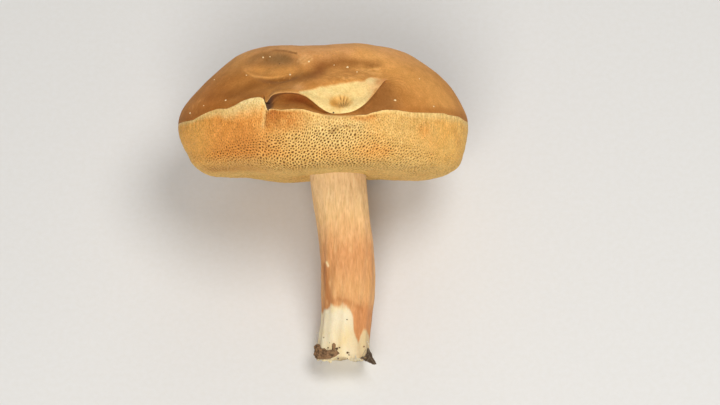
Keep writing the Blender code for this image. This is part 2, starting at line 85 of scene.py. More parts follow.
# Lines round the cap as (bearing in degrees, size in millimetres)
RIM_LINE = [
    (-180, 66.6), (-120, 66.3), (-77, 66.6), (-62, 66.6), (-55, 67.8), (-50.8, 68.5), (-45.2, 69.15),
    (-40.6, 68.9), (-37, 69.7), (-33.7, 70.95), (-30.3, 71.6), (-26.3, 71.9), (-23.8, 71.3), (-22.6, 68.1),
    (-20.6, 68.6), (-16.5, 68.1), (-11, 68.35), (-7.1, 68.15), (-3.3, 67.3), (0.4, 66.75), (7.7, 66.5),
    (17.2, 66.7), (19.4, 67.3), (25.1, 68.25), (30, 68.3), (37.2, 67.8), (56, 68.25), (59.1, 67.9),
    (68.6, 67.9), (75.7, 67.2), (120, 66.4),
]
LIP_EDGE = [
    (-180, 74.5), (-60, 75.0), (-30, 75.0), (-25.2, 73.2), (-24, 72.0), (-23.2, 70.6), (-22.4, 69.7),
    (-21.6, 70.6), (-20.8, 71.4), (-19.5, 71.8), (-17.4, 72.1), (-15, 72.2),
    (-12, 72.05), (-9, 71.65), (-6, 70.75), (-4.5, 70.1), (-3, 69.3), (-1.5, 68.55), (0, 67.95), (1.5, 67.4),
    (3, 67.05), (4.5, 67.0), (6, 67.0), (9, 67.2), (10.5, 67.35), (12, 67.65), (13.5, 68.05), (15, 68.6),
    (16.5, 69.25), (18, 70.1), (19.5, 71.0), (21, 72.0), (22.5, 73.0), (24, 74.0), (25.5, 74.9),
    (27, 75.75), (28.5, 76.55), (30, 77.15), (33, 77.9), (36, 78.3), (45, 78.0), (60, 76.5), (90, 75.0),
]
LIP_RECESS = [
    (-180, 0.0), (-24.6, 0.0), (-23, 3.4), (-15, 4.6), (-6, 4.2), (2.7, 1.9), (5.5, 0.7), (9.5, 0.7),
    (13, 1.6), (17, 2.2), (24, 1.6), (35, 0.0),
]
FOLD_BEARING = math.radians(-23.5)
# Sizes of the fold, the seam between cap and tubes, the far side's waves, the valley and the lip
FOLD_DEPTH = 1.1
SEAM_HEIGHT = 65.0
SEAM_FLAT_RADIUS = 34.0
SEAM_GAP = 0.05
WAVE_HEIGHT = 0.45
VALLEY_DEPTH = 1.7
VALLEY_WIDTH = 3.6
LIP_ROLL = 1.1
LIP_BULGE = 2.0
LIP_DROOP = 0.5
# Station of the lip's edge, counted from 0 on top of the cap to 1 at its margin
LIP_STATION = 0.8

# Rise and fall of the cap's top, as (across, size) in millimetres
TOP_WAVE = [
    (-36.0, 0.3), (-26.0, 0.3), (-20.5, 0.55), (-14.9, 0.55), (-12.1, 0.3), (-9.3, 0.0), (-6.5, -0.4),
    (-2.3, -0.55), (0.5, -0.6), (3.3, -0.35), (9.0, -0.1), (11.8, -0.2), (14.6, -0.45), (18.8, -0.4),
    (30.0, -0.4),
]

# Features of the cap's front, as (across, height) in the view from the front, in millimetres
VALLEY_LINE = [
    (-30.0, 73.5), (-20.5, 75.8), (-10.7, 78.4), (-0.9, 81.4), (8.0, 81.6), (17.4, 79.9), (25.0, 77.0),
]
WOUND = [
    (-6.5, 75.1), (-5.2, 75.3), (-3.4, 75.8), (-0.3, 76.8), (2.2, 77.6), (5.3, 78.1), (8.6, 78.5),
    (11.5, 78.5), (12.0, 79.4), (13.6, 80.2), (17.3, 80.2), (18.5, 79.4), (17.4, 78.1), (15.4, 76.9),
    (13.9, 75.3), (12.9, 73.8), (11.1, 71.9), (8.6, 69.8), (6.0, 68.6), (2.3, 68.2), (0.4, 69.4),
    (-1.7, 71.2), (-3.6, 72.8), (-5.1, 74.0), (-6.3, 74.5),
]
SHADED_BAND = [
    (-32.0, 74.2), (-25.0, 75.6), (-19.4, 77.9), (-13.8, 78.8), (-6.9, 79.4), (-2.7, 80.7), (0.0, 82.7),
    (4.5, 84.2), (7.6, 83.8), (15.0, 83.0),
]
OUTER_STREAK = [(-38.0, 72.5), (-30.0, 80.5), (-22.0, 86.0)]
BACK_STREAK = [(34.5, 83.0), (27.0, 84.5)]
WORN_STREAK = [(2.0, 79.8), (6.0, 80.6), (10.8, 81.5), (15.4, 81.8)]
BRIGHT_SHOULDER = [(11.1, 86.6), (17.0, 84.1), (23.3, 81.3), (29.5, 77.2), (35.0, 72.5)]
DIMPLE = ((-14.3, 83.6), (9.6, 4.2))
# Lower rim of the dimple, where a painted highlight runs
LIT_CRESCENT = [(-22.6, 82.6), (-21.4, 81.3), (-19.1, 80.2), (-15.2, 79.8), (-11.5, 80.2), (-9.4, 80.8)]
CREASE = [(-20.8, 85.0), (-17.2, 86.4), (-13.2, 87.2), (-10.4, 87.0), (-7.6, 86.4), (-6.2, 85.7)]
SCRATCHES = [((-7.3, 84.3), (-4.8, 86.1)), ((-6.2, 84.0), (-3.9, 85.7)), ((-5.3, 83.6), (-3.1, 85.1))]
GROWTH_LINES_MIDDLE = (20.5, 76.0)
PIT = ((5.1, 73.1), (3.3, 2.1))
PIT_GROOVES = 26
PIT_ROOT = (5.4, 70.2)
DISH = ((6.5, 74.8), (6.0, 3.2))

# Stem, as (across, height, radius) of its middle line, from the foot up into the cap
STEM_LINE = [
    (5.6, 0.6, 7.2), (5.6, 3.5, 7.2), (6.1, 8.0, 7.1), (6.7, 12.5, 7.0), (7.1, 19.0, 7.5), (7.0, 26.0, 7.5),
    (6.5, 33.0, 7.5), (5.6, 40.0, 7.5), (4.8, 46.5, 7.7), (4.2, 51.5, 7.9), (3.7, 58.0, 8.1),
    (3.4, 64.7, 8.1),
]
# Marks on the stem's front, as (across, height) in the view from the front
BROWN_STREAK = [(0.6, 27.0), (1.0, 22.0), (1.4, 18.0), (1.0, 15.2)]
RUST_BAND = [(2.6, 17.0), (4.5, 17.6), (6.5, 17.2), (8.5, 16.0), (11.0, 14.6)]
PALE_NICK = [(1.0, 28.0), (1.4, 27.0)]
# Lines round the stem as (turn in degrees, height in millimetres)
FOOT_EDGE = [
    (-180, 0.2), (-130, 0.9), (-100, 0.4), (-75, 0.8), (-50, 0.4), (-40, 0.2), (-33, -0.3), (-28, -0.6),
    (-21, 0.6), (-16, 1.2), (-4, 1.3), (9, 1.2), (13, 0.4), (17, 1.0), (25, 1.2), (40, 0.9), (60, 0.5),
    (90, 0.3), (120, 0.8), (150, 0.1),
]
FELT_TOP = [
    (-180, 11.5), (-120, 13.0), (-75, 14.3), (-56, 14.7), (-48, 14.8), (-39, 15.7), (-30, 15.2), (-18, 15.8),
    (-3, 15.2), (6, 14.5), (9, 13.4), (13, 12.7), (16, 11.5), (18.5, 9.5), (20.5, 8.0), (28, 6.4), (34, 5.6),
    (37, 5.8), (40, 7.6), (45, 8.9), (53, 8.7), (64, 8.0), (80, 6.2), (110, 7.5), (150, 10.0),
]


def rise(value, low, high):
    """Zero below low, one above high, with a smooth rise between them."""
    share = np.clip((np.asarray(value, dtype=float) - low) / (high - low), 0.0, 1.0)
    return share * share * (3.0 - 2.0 * share)


def fall(value, low, high):
    """One below low, zero above high, with a smooth fall between them."""
    return 1.0 - rise(value, low, high)


def bump(value, centre, width):
    """One at the centre, fading out smoothly to both sides over about that width."""
    return np.exp(-(((np.asarray(value, dtype=float) - centre) / width) ** 2))


def read_line(across, line):
    """The size that a line of (across, size) points has at each place across."""
    return np.interp(across, *np.array(line, dtype=float).T)


def smooth_line(points, steps):
    """A Catmull-Rom line through the points, with that many steps to each span."""
    points = np.array(points, dtype=float)
    padded = np.vstack([2 * points[0] - points[1], points, 2 * points[-1] - points[-2]])
    line = []
    for before, start, end, after in zip(padded, padded[1:], padded[2:], padded[3:]):
        for t in np.arange(steps) / steps:
            bend = 2 * before - 5 * start + 4 * end - after
            twist = 3 * start - before - 3 * end + after
            line.append(0.5 * (2 * start + (end - before) * t + bend * t * t + twist * t ** 3))
    line.append(points[-1])
    return np.array(line)


def soft_noise(spots, size, seed):
    """Smooth random values from -1 to 1 over space, in lumps of about that size; seed picks the pattern."""
    lattice = np.random.default_rng(seed).uniform(-1.0, 1.0, (LATTICE, LATTICE, LATTICE))
    places = np.asarray(spots) / size
    cell = np.floor(places).astype(int)
    share = places - cell
    share = share * share * (3.0 - 2.0 * share)
    total = np.zeros(places.shape[:-1])
    for corner in itertools.product((0, 1), repeat=3):
        weight = np.prod(np.where(corner, share, 1.0 - share), axis=-1)
        index = (cell + corner) % LATTICE
        total += weight * lattice[index[..., 0], index[..., 1], index[..., 2]]
    return total


def rough_noise(spots, size, seed):
    """Three layers of soft noise, each half the size and strength of the one before."""
    layers = [soft_noise(spots, size / 2 ** k, seed + k) / 2 ** k for k in range(3)]
    return sum(layers) / (1 + 1 / 2 + 1 / 4)


class RoundLine:
    """A line of (degrees, millimetres) points right round, softly rounded at its corners."""

    # Degrees between the stored sizes, and how many of them the rounding reaches to each side
    STEP = 0.25
    REACH = 12

    def __init__(self, points, blur):
        degrees, sizes = np.array(points, dtype=float).T
        self.degrees = np.arange(-180.0, 180.0, self.STEP)
        sharp = np.interp(self.degrees, degrees, sizes, period=360.0)
        kernel = bump(np.arange(-self.REACH, self.REACH + 1) * self.STEP, 0.0, blur)
        wrapped = np.concatenate([sharp[-self.REACH:], sharp, sharp[:self.REACH]])
        self.sizes = np.convolve(wrapped, kernel / kernel.sum(), "valid")

    def __call__(self, angle):
        return np.interp(np.degrees(angle), self.degrees, self.sizes, period=360.0)


rim_height = RoundLine(RIM_LINE, 0.6)
lip_edge = RoundLine(LIP_EDGE, 0.6)
lip_recess = RoundLine(LIP_RECESS, 0.5)
foot_edge = RoundLine(FOOT_EDGE, 1.0)
felt_top = RoundLine(FELT_TOP, 1.0)

HEAD_LINE = smooth_line(HEAD_OUTLINE, 12)
HEAD_LENGTHS = np.concatenate([[0.0], np.cumsum(np.hypot(*np.diff(HEAD_LINE, axis=0).T))])
HEAD_LENGTH = HEAD_LENGTHS[-1]
HEAD_SLOPES = np.gradient(HEAD_LINE, HEAD_LENGTHS, axis=0)
STEM_MIDDLES = smooth_line(STEM_LINE, 8)


def head_outline(length):
    """Radius, height and outward direction at a distance along the outline from the cap's top."""
    radius = np.interp(length, HEAD_LENGTHS, HEAD_LINE[:, 0])
    height = np.interp(length, HEAD_LENGTHS, HEAD_LINE[:, 1])
    out_radial = np.interp(length, HEAD_LENGTHS, -HEAD_SLOPES[:, 1])
    out_upward = np.interp(length, HEAD_LENGTHS, HEAD_SLOPES[:, 0])
    return radius, height, out_radial, out_upward


def length_at(height):
    """Distance along the outline from the top of the cap down to a height on its side."""
    side = (HEAD_LINE[:, 0] > 25) & (HEAD_LINE[:, 1] > 56)
    return np.interp(-height, -HEAD_LINE[side, 1], HEAD_LENGTHS[side])


def rim_length(bearing):
    """Distance along the outline from the top of the cap down to its margin."""
    return length_at(rim_height(bearing))


def place(radius, bearing, height):
    """Upright points at a distance and bearing from the axis."""
    return np.stack([radius * np.sin(bearing), -radius * np.cos(bearing), height], axis=-1)


def all_round(count):
    """Evenly spaced angles right round."""
    return 2 * math.pi * np.arange(count) / count


def crowd_front(angle, crowding):
    """Packs evenly spaced bearings closer together round the front."""
    angle = (angle + math.pi) % (2 * math.pi) - math.pi
    return angle - crowding * np.sin(angle)


def body_waves(bearing, height):
    """Gentle unevenness of the head's far side."""
    back = rise(-np.cos(bearing), 0.0, 0.8)
    waves = np.cos(3 * bearing) + 0.3 * np.sin(5 * bearing + height / 9)
    return WAVE_HEIGHT * back * waves


def lay_down(spots):
    """Turns upright points into the lying pose, in metres, and presses them flat where the floor is."""
    laid = spots * MM @ np.array(LAY.to_3x3()).T + np.array(LAY.translation)
    laid[..., 2] = np.maximum(laid[..., 2], 0.0)
    return laid


def height_when_laid(spots):
    """Height over the floor that upright points have once laid down, in millimetres."""
    return spots @ np.array(LAY.to_3x3())[2] + LAY.translation.z / MM


def seen_from_front(spots):
    """Across and up as the view from the front sees each upright point."""
    offset = spots - AIM
    scale = VIEW_DISTANCE / (VIEW_DISTANCE - offset @ VIEW_BACK)
    return AIM[0] + offset[..., 0] * scale, AIM[2] + (offset @ VIEW_UP) * scale


def distance_to(across, up, line):
    """Distance from each point to a line of (across, up) corners."""
    nearest = np.full(np.shape(across), np.inf)
    for (x0, y0), (x1, y1) in zip(line, line[1:]):
        run, climb = x1 - x0, y1 - y0
        share = np.clip(((across - x0) * run + (up - y0) * climb) / (run * run + climb * climb), 0.0, 1.0)
        nearest = np.minimum(nearest, np.hypot(across - x0 - share * run, up - y0 - share * climb))
    return nearest


def streak(across, up, line, width):
    """One along a line of (across, up) corners, fading out to both sides."""
    return bump(distance_to(across, up, line), 0.0, width)


def patch(across, up, outline, softness):
    """One inside a closed outline and zero outside, with a soft edge."""
    closed = [*outline, outline[0]]
    inside = np.zeros(np.shape(across), dtype=bool)
    for (x0, y0), (x1, y1) in zip(closed, closed[1:]):
        if y0 != y1:
            crossing = x0 + (up - y0) / (y1 - y0) * (x1 - x0)
            inside ^= ((y0 > up) != (y1 > up)) & (across < crossing)
    nearest = distance_to(across, up, closed)
    return rise(np.where(inside, nearest, -nearest), -softness, softness)


def oval(across, up, shape):
    """Zero at the middle of an oval ((across, up), (half width, half height)) and one on its line."""
    (middle_across, middle_up), (half_width, half_height) = shape
    return np.hypot(across - middle_across, (up - middle_up) * half_width / half_height) / half_width


def mix(base, colour, share):
    """Lays a colour over that share of what is under it."""
    share = np.asarray(share)[..., None]
    return base * (1.0 - share) + np.asarray(colour) * share


class Paint:
    """Colours of a piece's points, laid coat on coat, with marks placed as seen from the front."""

    def __init__(self, colour, across, up, front):
        self.colours = np.tile(colour, (len(across), 1))
        self.across, self.up, self.front = across, up, front

    def coat(self, colour, share):
        self.colours = mix(self.colours, colour, share)

    def blot(self, colour, share, middle, size):
        """A soft mark round a middle (across, up), of that half width and half height."""
        mark = bump(self.across, middle[0], size[0]) * bump(self.up, middle[1], size[1])
        self.coat(colour, share * self.front * mark)

    def line(self, colour, share, points, width):
        """A soft line through (across, up) points."""
        self.coat(colour, share * self.front * streak(self.across, self.up, points, width))


def tone(red, green, blue):
    """A screen colour as the linear values that Blender's shaders use."""
    shares = np.array([red, green, blue]) / 255.0
    return tuple(np.where(shares > 0.04045, ((shares + 0.055) / 1.055) ** 2.4, shares / 12.92).tolist())


def colour_property(name, description, red, green, blue):
    """A colour whose default is given as a screen colour."""
    return FloatVectorProperty(
        name=name, description=description, subtype="COLOR", size=3, min=0.0, max=1.0,
        default=tone(red, green, blue),
    )


def length_property(name, description, size):
    """A length in metres whose default is given in millimetres."""
    return FloatProperty(
        name=name, description=description, default=size * MM, min=0.0, unit="LENGTH", precision=5,
    )


def power_property(name, description, watts):
    """The power of a light."""
    return FloatProperty(name=name, description=description, default=watts, min=0.0, unit="POWER")


class CapSettings(bpy.types.PropertyGroup):
    """Sizes and colours of the cap."""

    skin: colour_property("Skin", "Brown suede of the cap", 208, 141, 70)
    crown: colour_property("Crown", "Paler suede on top of the cap", 232, 168, 105)
    shade: colour_property("Shade", "Darker suede along the valley", 160, 96, 37)
    # Also painted light on the dimple's lower wall and rim
    worn: colour_property("Worn", "Orange suede where it is rubbed thin", 240, 172, 92)
    # Painted shade: the skin darkened where it is tucked under the torn lip
    hollow: colour_property("Hollow", "Skin tucked under the torn lip", 178, 118, 54)
    flesh: colour_property("Flesh", "Bare flesh of the torn lip", 247, 214, 142)
    pit: colour_property("Pit", "Amber bottom of the pit in the lip", 232, 174, 86)
    # Tan edge of the lip, lightened as a painted highlight along it
    margin: colour_property("Margin", "Tan thin edge of the lip", 236, 180, 112)
    stain: colour_property("Stain", "Brown lines in the pit", 124, 82, 38)
    # Red-brown suede; at the valley's darkest spot it stands for painted shade too
    rust: colour_property("Rust", "Red brown suede in the valley", 152, 88, 42)
    # Olive suede, laid on most on the dimple's upper wall as painted shade too
    dimple: colour_property("Dimple", "Olive brown suede in the dimple", 160, 114, 66)
    speck: colour_property("Specks", "Pale grit on the suede", 250, 228, 176)
    pit_depth: length_property("Pit depth", "How deep the pit in the lip is", 1.1)
    suede_relief: length_property("Suede relief", "Height of the suede's fine lumps", 0.035)


class TubeSettings(bpy.types.PropertyGroup):
    """Sizes and colours of the tube layer."""

    wall: colour_property("Walls", "Walls between the pores", 234, 184, 104)
    pale_wall: colour_property("Pale walls", "Walls under the torn lip", 240, 202, 128)
    tan_wall: colour_property("Tan walls", "Walls at the sides of the head", 246, 161, 70)
    # Painted shade from the overhanging lip beside the fold and under its right end; bruising on the far
    # right
    bruise_and_shade: colour_property("Bruise", "Orange brown beside the fold", 207, 127, 48)
    # Olive tan round the underside, partly painted shade
    low_edge: colour_property("Low edge", "Olive tan round the underside", 206, 160, 84)
    margin: colour_property("Margin", "Pale line under the cap's rim", 246, 205, 130)
    # Painted shade: the dark inside of the pores
    mouth: colour_property("Pores", "Inside of the pores", 136, 91, 39)
    pitch: length_property("Pore pitch", "Distance between pores under the lip", 1.07)
    depth: length_property("Pore depth", "How deep the open pores are", 1.5)


class StemSettings(bpy.types.PropertyGroup):
    """Sizes and colours of the stem."""

    top: colour_property("Top", "Pale flesh at the top of the stem", 243, 200, 140)
    low: colour_property("Lower part", "Tan flesh lower down the stem", 216, 154, 98)
    rust: colour_property("Rust", "Red brown stains above the felt", 184, 116, 62)
    felt: colour_property("Felt", "White felt round the foot", 240, 225, 190)
    fibre_relief: length_property("Fibre relief", "Height of the stem's fine fibres", 0.06)


class LitterSettings(bpy.types.PropertyGroup):
    """Sizes and colours of the soil, leaf scrap and strands at the foot."""

    soil: colour_property("Soil", "Damp brown crumb", 150, 114, 80)
    dark_soil: colour_property("Dark soil", "Hollows of the crumb", 84, 64, 46)
    leaf: colour_property("Leaf", "Rotted leaf scrap", 76, 58, 40)
    leaf_edge: colour_property("Leaf edge", "Bleached edge and veins of the scrap", 150, 138, 118)
    strand: colour_property("Strands", "Pale root-like strands", 206, 196, 176)
    crumbs: IntProperty(
        name="Crumbs", description="Number of loose crumbs of soil on the foot", default=46, min=0,
        subtype="UNSIGNED",
    )


class StageSettings(bpy.types.PropertyGroup):
    """Floor and studio light."""

    floor: colour_property("Floor", "Pale floor", 226, 224, 220)
    key_power: power_property("Key", "Power of the large soft light", 3.4)
    fill_power: power_property("Fill", "Power of the front light", 4.0)
    room: FloatProperty(
        name="Room", description="Strength of the light from all sides", default=0.25, min=0.0,
        subtype="FACTOR",
    )


def add_node(tree, kind, inputs=None, **settings):
    """Adds a shader node; an input may be a value or another node's output."""
    node = tree.nodes.new(kind)
    for key, value in settings.items():
        setattr(node, key, value)
    for key, value in (inputs or {}).items():
        if isinstance(value, bpy.types.NodeSocket):
            tree.links.new(value, node.inputs[key])
        else:
            node.inputs[key].default_value = value
    return node


def new_material(name, **sockets):
    """A Principled material with fixed values on its own sockets, and its node tree and shader."""
    material = bpy.data.materials.new(name)
    material.use_nodes = True
    shader = material.node_tree.nodes["Principled BSDF"]
    for key, value in sockets.items():
        shader.inputs[key.replace("_", " ").title().replace("Ior", "IOR")].default_value = value
    return material, material.node_tree, shader


def upright_places(tree, squeeze=1.0):
    """Object coordinates turned upright, squeezed along the stem by that factor."""
    places = add_node(tree, "ShaderNodeTexCoord").outputs["Object"]
    steps = [{"Rotation": (-LEAN, 0.0, 0.0)}]
    if squeeze != 1.0:
        steps.append({"Scale": (1.0, 1.0, squeeze)})
    for step in steps:
        places = add_node(tree, "ShaderNodeMapping", {"Vector": places, **step}).outputs["Vector"]
    return places


def noise_value(tree, places, size, detail=3.0, roughness=0.55):
    """Procedural noise from 0 to 1 with lumps of about that size."""
    inputs = {"Vector": places, "Scale": 1.0 / (size * MM), "Detail": detail, "Roughness": roughness}
    return add_node(tree, "ShaderNodeTexNoise", inputs).outputs["Fac"]


def ranged(tree, value, new_low, new_high, low=0.3, high=0.7):
    """Moves noise, most of which lies between low and high, to a new range."""
    inputs = {"Value": value, "From Min": low, "From Max": high, "To Min": new_low, "To Max": new_high}
    return add_node(tree, "ShaderNodeMapRange", inputs).outputs["Result"]


def calculated(tree, operation, first, second):
    """The result of a Math node on two numbers."""
    return add_node(tree, "ShaderNodeMath", {0: first, 1: second}, operation=operation).outputs["Value"]


def times(tree, first, second):
    return calculated(tree, "MULTIPLY", first, second)


def plus(tree, first, second):
    return calculated(tree, "ADD", first, second)


def painted(tree):
    """The colour that the mesh carries."""
    return add_node(tree, "ShaderNodeAttribute", attribute_name="paint").outputs["Color"]


def marked(tree, name):
    """A number from 0 to 1 that the mesh carries under that name."""
    return add_node(tree, "ShaderNodeAttribute", attribute_name=name).outputs["Fac"]


def between(tree, share, first, second):
    """The first number at share 0, the second at share 1."""
    return add_node(tree, "ShaderNodeMix", {0: share, 2: first, 3: second}, data_type="FLOAT").outputs[0]


def brightened(tree, colour, factor):
    """A colour times a number, so that what is darker is warmer too."""
    red = calculated(tree, "POWER", factor, 0.8)
    blue = calculated(tree, "POWER", factor, 1.5)
    light = add_node(tree, "ShaderNodeCombineColor", {"Red": red, "Green": factor, "Blue": blue})
    inputs = {0: 1.0, 6: colour, 7: light.outputs["Color"]}
    node = add_node(tree, "ShaderNodeMix", inputs, data_type="RGBA", blend_type="MULTIPLY")
    return node.outputs[2]


def raised(tree, shader, height, distance):
    """Gives the shader a bump of that height."""
    inputs = {"Height": height, "Distance": distance * MM, "Strength": 1.0}
    tree.links.new(add_node(tree, "ShaderNodeBump", inputs).outputs["Normal"], shader.inputs["Normal"])


SOFT_FLESH = {
    "specular_ior_level": 0.2, "subsurface_weight": 0.12, "subsurface_radius": (0.0016, 0.0009, 0.0004),
    "subsurface_scale": 1.0,
}


def suede_material():
    """Suede skin: fine lumps and soft mottling, smoother and moister where the flesh is bare."""
    material, tree, shader = new_material(
        "suede", specular_ior_level=0.1, sheen_weight=0.05, sheen_roughness=0.4,
        sheen_tint=(1.0, 0.8, 0.6, 1.0), subsurface_weight=0.08, subsurface_scale=1.0,
        subsurface_radius=(0.0012, 0.0006, 0.0003),
    )
    places = upright_places(tree)
    grain = noise_value(tree, places, 0.5, 4.0, 0.6)
    mottle = noise_value(tree, places, 3.0, 4.0, 0.6)
    cloud = noise_value(tree, places, 9.0, 2.0)
    light = times(tree, ranged(tree, mottle, 0.88, 1.12), ranged(tree, cloud, 0.93, 1.07))
    light = times(tree, light, ranged(tree, grain, 0.86, 1.13))
    tree.links.new(brightened(tree, painted(tree), light), shader.inputs["Base Color"])
    moist = between(tree, marked(tree, "bare"), ranged(tree, grain, 0.72, 0.9), 0.5)
    tree.links.new(moist, shader.inputs["Roughness"])
    raised(tree, shader, plus(tree, grain, times(tree, mottle, 0.6)), 0.10)
    return material


def tube_material():
    """Pore walls: soft and waxy, with fine upright lines where the tubes show from the side."""
    material, tree, shader = new_material("tubes", **SOFT_FLESH)
    places = upright_places(tree)
    lines = noise_value(tree, upright_places(tree, 0.12), 0.45, 3.0, 0.6)
    mottle = noise_value(tree, places, 1.6, 4.0, 0.6)
    speckle = noise_value(tree, places, 0.5, 2.0, 0.5)
    flank = marked(tree, "flank")
    streaks = plus(tree, 1.0, times(tree, flank, ranged(tree, lines, -0.26, 0.2)))
    mottled = times(tree, ranged(tree, mottle, 0.86, 1.12), ranged(tree, speckle, 0.85, 1.15, 0.35, 0.65))
    colour = brightened(tree, painted(tree), times(tree, streaks, mottled))
    tree.links.new(colour, shader.inputs["Base Color"])
    tree.links.new(ranged(tree, mottle, 0.55, 0.78), shader.inputs["Roughness"])
    raised(tree, shader, plus(tree, times(tree, mottle, 0.5), times(tree, lines, flank)), 0.12)
    return material


def stem_material():
    """Stem flesh: upright fibres and flecks, with a fuzzy felt round the foot."""
    material, tree, shader = new_material("stem_flesh", sheen_weight=0.05, sheen_roughness=0.5, **SOFT_FLESH)
    fibres = noise_value(tree, upright_places(tree, 0.2), 0.45, 4.0, 0.65)
    flecks = noise_value(tree, upright_places(tree, 0.22), 0.9, 3.0, 0.6)
    fuzz = noise_value(tree, upright_places(tree), 0.4, 4.0, 0.65)
    felt = marked(tree, "felt")
    light = times(tree, ranged(tree, fibres, 0.85, 1.13), ranged(tree, flecks, 0.93, 1.07, 0.35, 0.65))
    light = between(tree, felt, light, ranged(tree, fuzz, 0.94, 1.04))
    tree.links.new(brightened(tree, painted(tree), light), shader.inputs["Base Color"])
    tree.links.new(ranged(tree, fuzz, 0.66, 0.88), shader.inputs["Roughness"])
    bare = calculated(tree, "SUBTRACT", 1.0, felt)
    raised(tree, shader, plus(tree, times(tree, fibres, bare), times(tree, fuzz, felt)), 0.14)
    return material


def litter_material(name, grain_size, relief, low_roughness, sheen):
    """Dry soil, rotted leaf or strand: grainy, with its colours painted on the mesh."""
    material, tree, shader = new_material(name, specular_ior_level=0.25, sheen_weight=sheen)
    grain = noise_value(tree, upright_places(tree), grain_size, 5.0, 0.65)
    colour = brightened(tree, painted(tree), ranged(tree, grain, 0.75, 1.22))
    tree.links.new(colour, shader.inputs["Base Color"])
    tree.links.new(ranged(tree, grain, low_roughness, 0.97), shader.inputs["Roughness"])
    raised(tree, shader, grain, relief)
    return material


# Points nearer than this become one, in millimetres
WELD_DISTANCE = 0.0005


def make_piece(name, spots, faces, marks, material, nodes=()):
    """Turns upright points and faces into a laid-down piece that rides on the frame."""
    mesh = bpy.data.meshes.new(name)
    mesh.from_pydata(lay_down(np.asarray(spots)).tolist(), [], [list(face) for face in faces])
    for label, values in marks.items():
        if values.ndim == 2:
            layer = mesh.attributes.new(label, "FLOAT_COLOR", "POINT")
            layer.data.foreach_set("color", np.hstack([values, np.ones((len(values), 1))]).ravel())
        else:
            layer = mesh.attributes.new(label, "FLOAT", "POINT")
            layer.data.foreach_set("value", values.ravel())
    shape = bmesh.new()
    shape.from_mesh(mesh)
    bmesh.ops.remove_doubles(shape, verts=shape.verts, dist=WELD_DISTANCE * MM)
    bmesh.ops.recalc_face_normals(shape, faces=shape.faces)
    shape.to_mesh(mesh)
    shape.free()
    mesh.shade_smooth()
    mesh.materials.append(material)
    piece = bpy.data.objects.new(name, mesh)
    bpy.context.scene.collection.objects.link(piece)
    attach(piece, "root")
    if nodes:
        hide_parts(*nodes)


def ring_faces(rows, columns):
    """Four-cornered faces between closed rings of points, ring after ring."""
    row, column = np.meshgrid(np.arange(rows - 1), np.arange(columns), indexing="ij")
    here = row * columns + column
    beside = row * columns + (column + 1) % columns
    return np.stack([here, beside, beside + columns, here + columns], axis=-1).reshape(-1, 4)


def seam_height(radius, bearing):
    """Height of the face where cap and tubes meet: flat inside, rising to the wavy margin."""
    rim_radius = head_outline(rim_length(bearing))[0]
    share = np.clip((radius - SEAM_FLAT_RADIUS) / (rim_radius - SEAM_FLAT_RADIUS), 0.0, 1.0)
    return SEAM_HEIGHT + share * (rim_height(bearing) - SEAM_HEIGHT)


CAP_COLUMNS = 560
CAP_CROWDING = 0.5
CAP_ROWS_ABOVE = 112
CAP_ROWS_BELOW = 28
UNDERHANG = 0.35
# Bearings over which the rolled edge of the lip sets in on the left and fades out on the right
LIP_LEFT = (-0.42, -0.33)
LIP_RIGHT = (0.32, 0.46)
# Depths of the hollows on the cap, in millimetres
DISH_DEPTH = 1.6
DIMPLE_DEPTH = 2.3
CREASE_DEPTH = 0.8
GROOVE_DEPTH = 0.2
WOUND_DEPTH = 0.22
# Rings of the cap's underside along the seam, and how far inside its margin they stay
UNDERSIDE_RADII = (38.5, SEAM_FLAT_RADIUS, 17, 0.0)
MARGIN_THICKNESS = 0.6


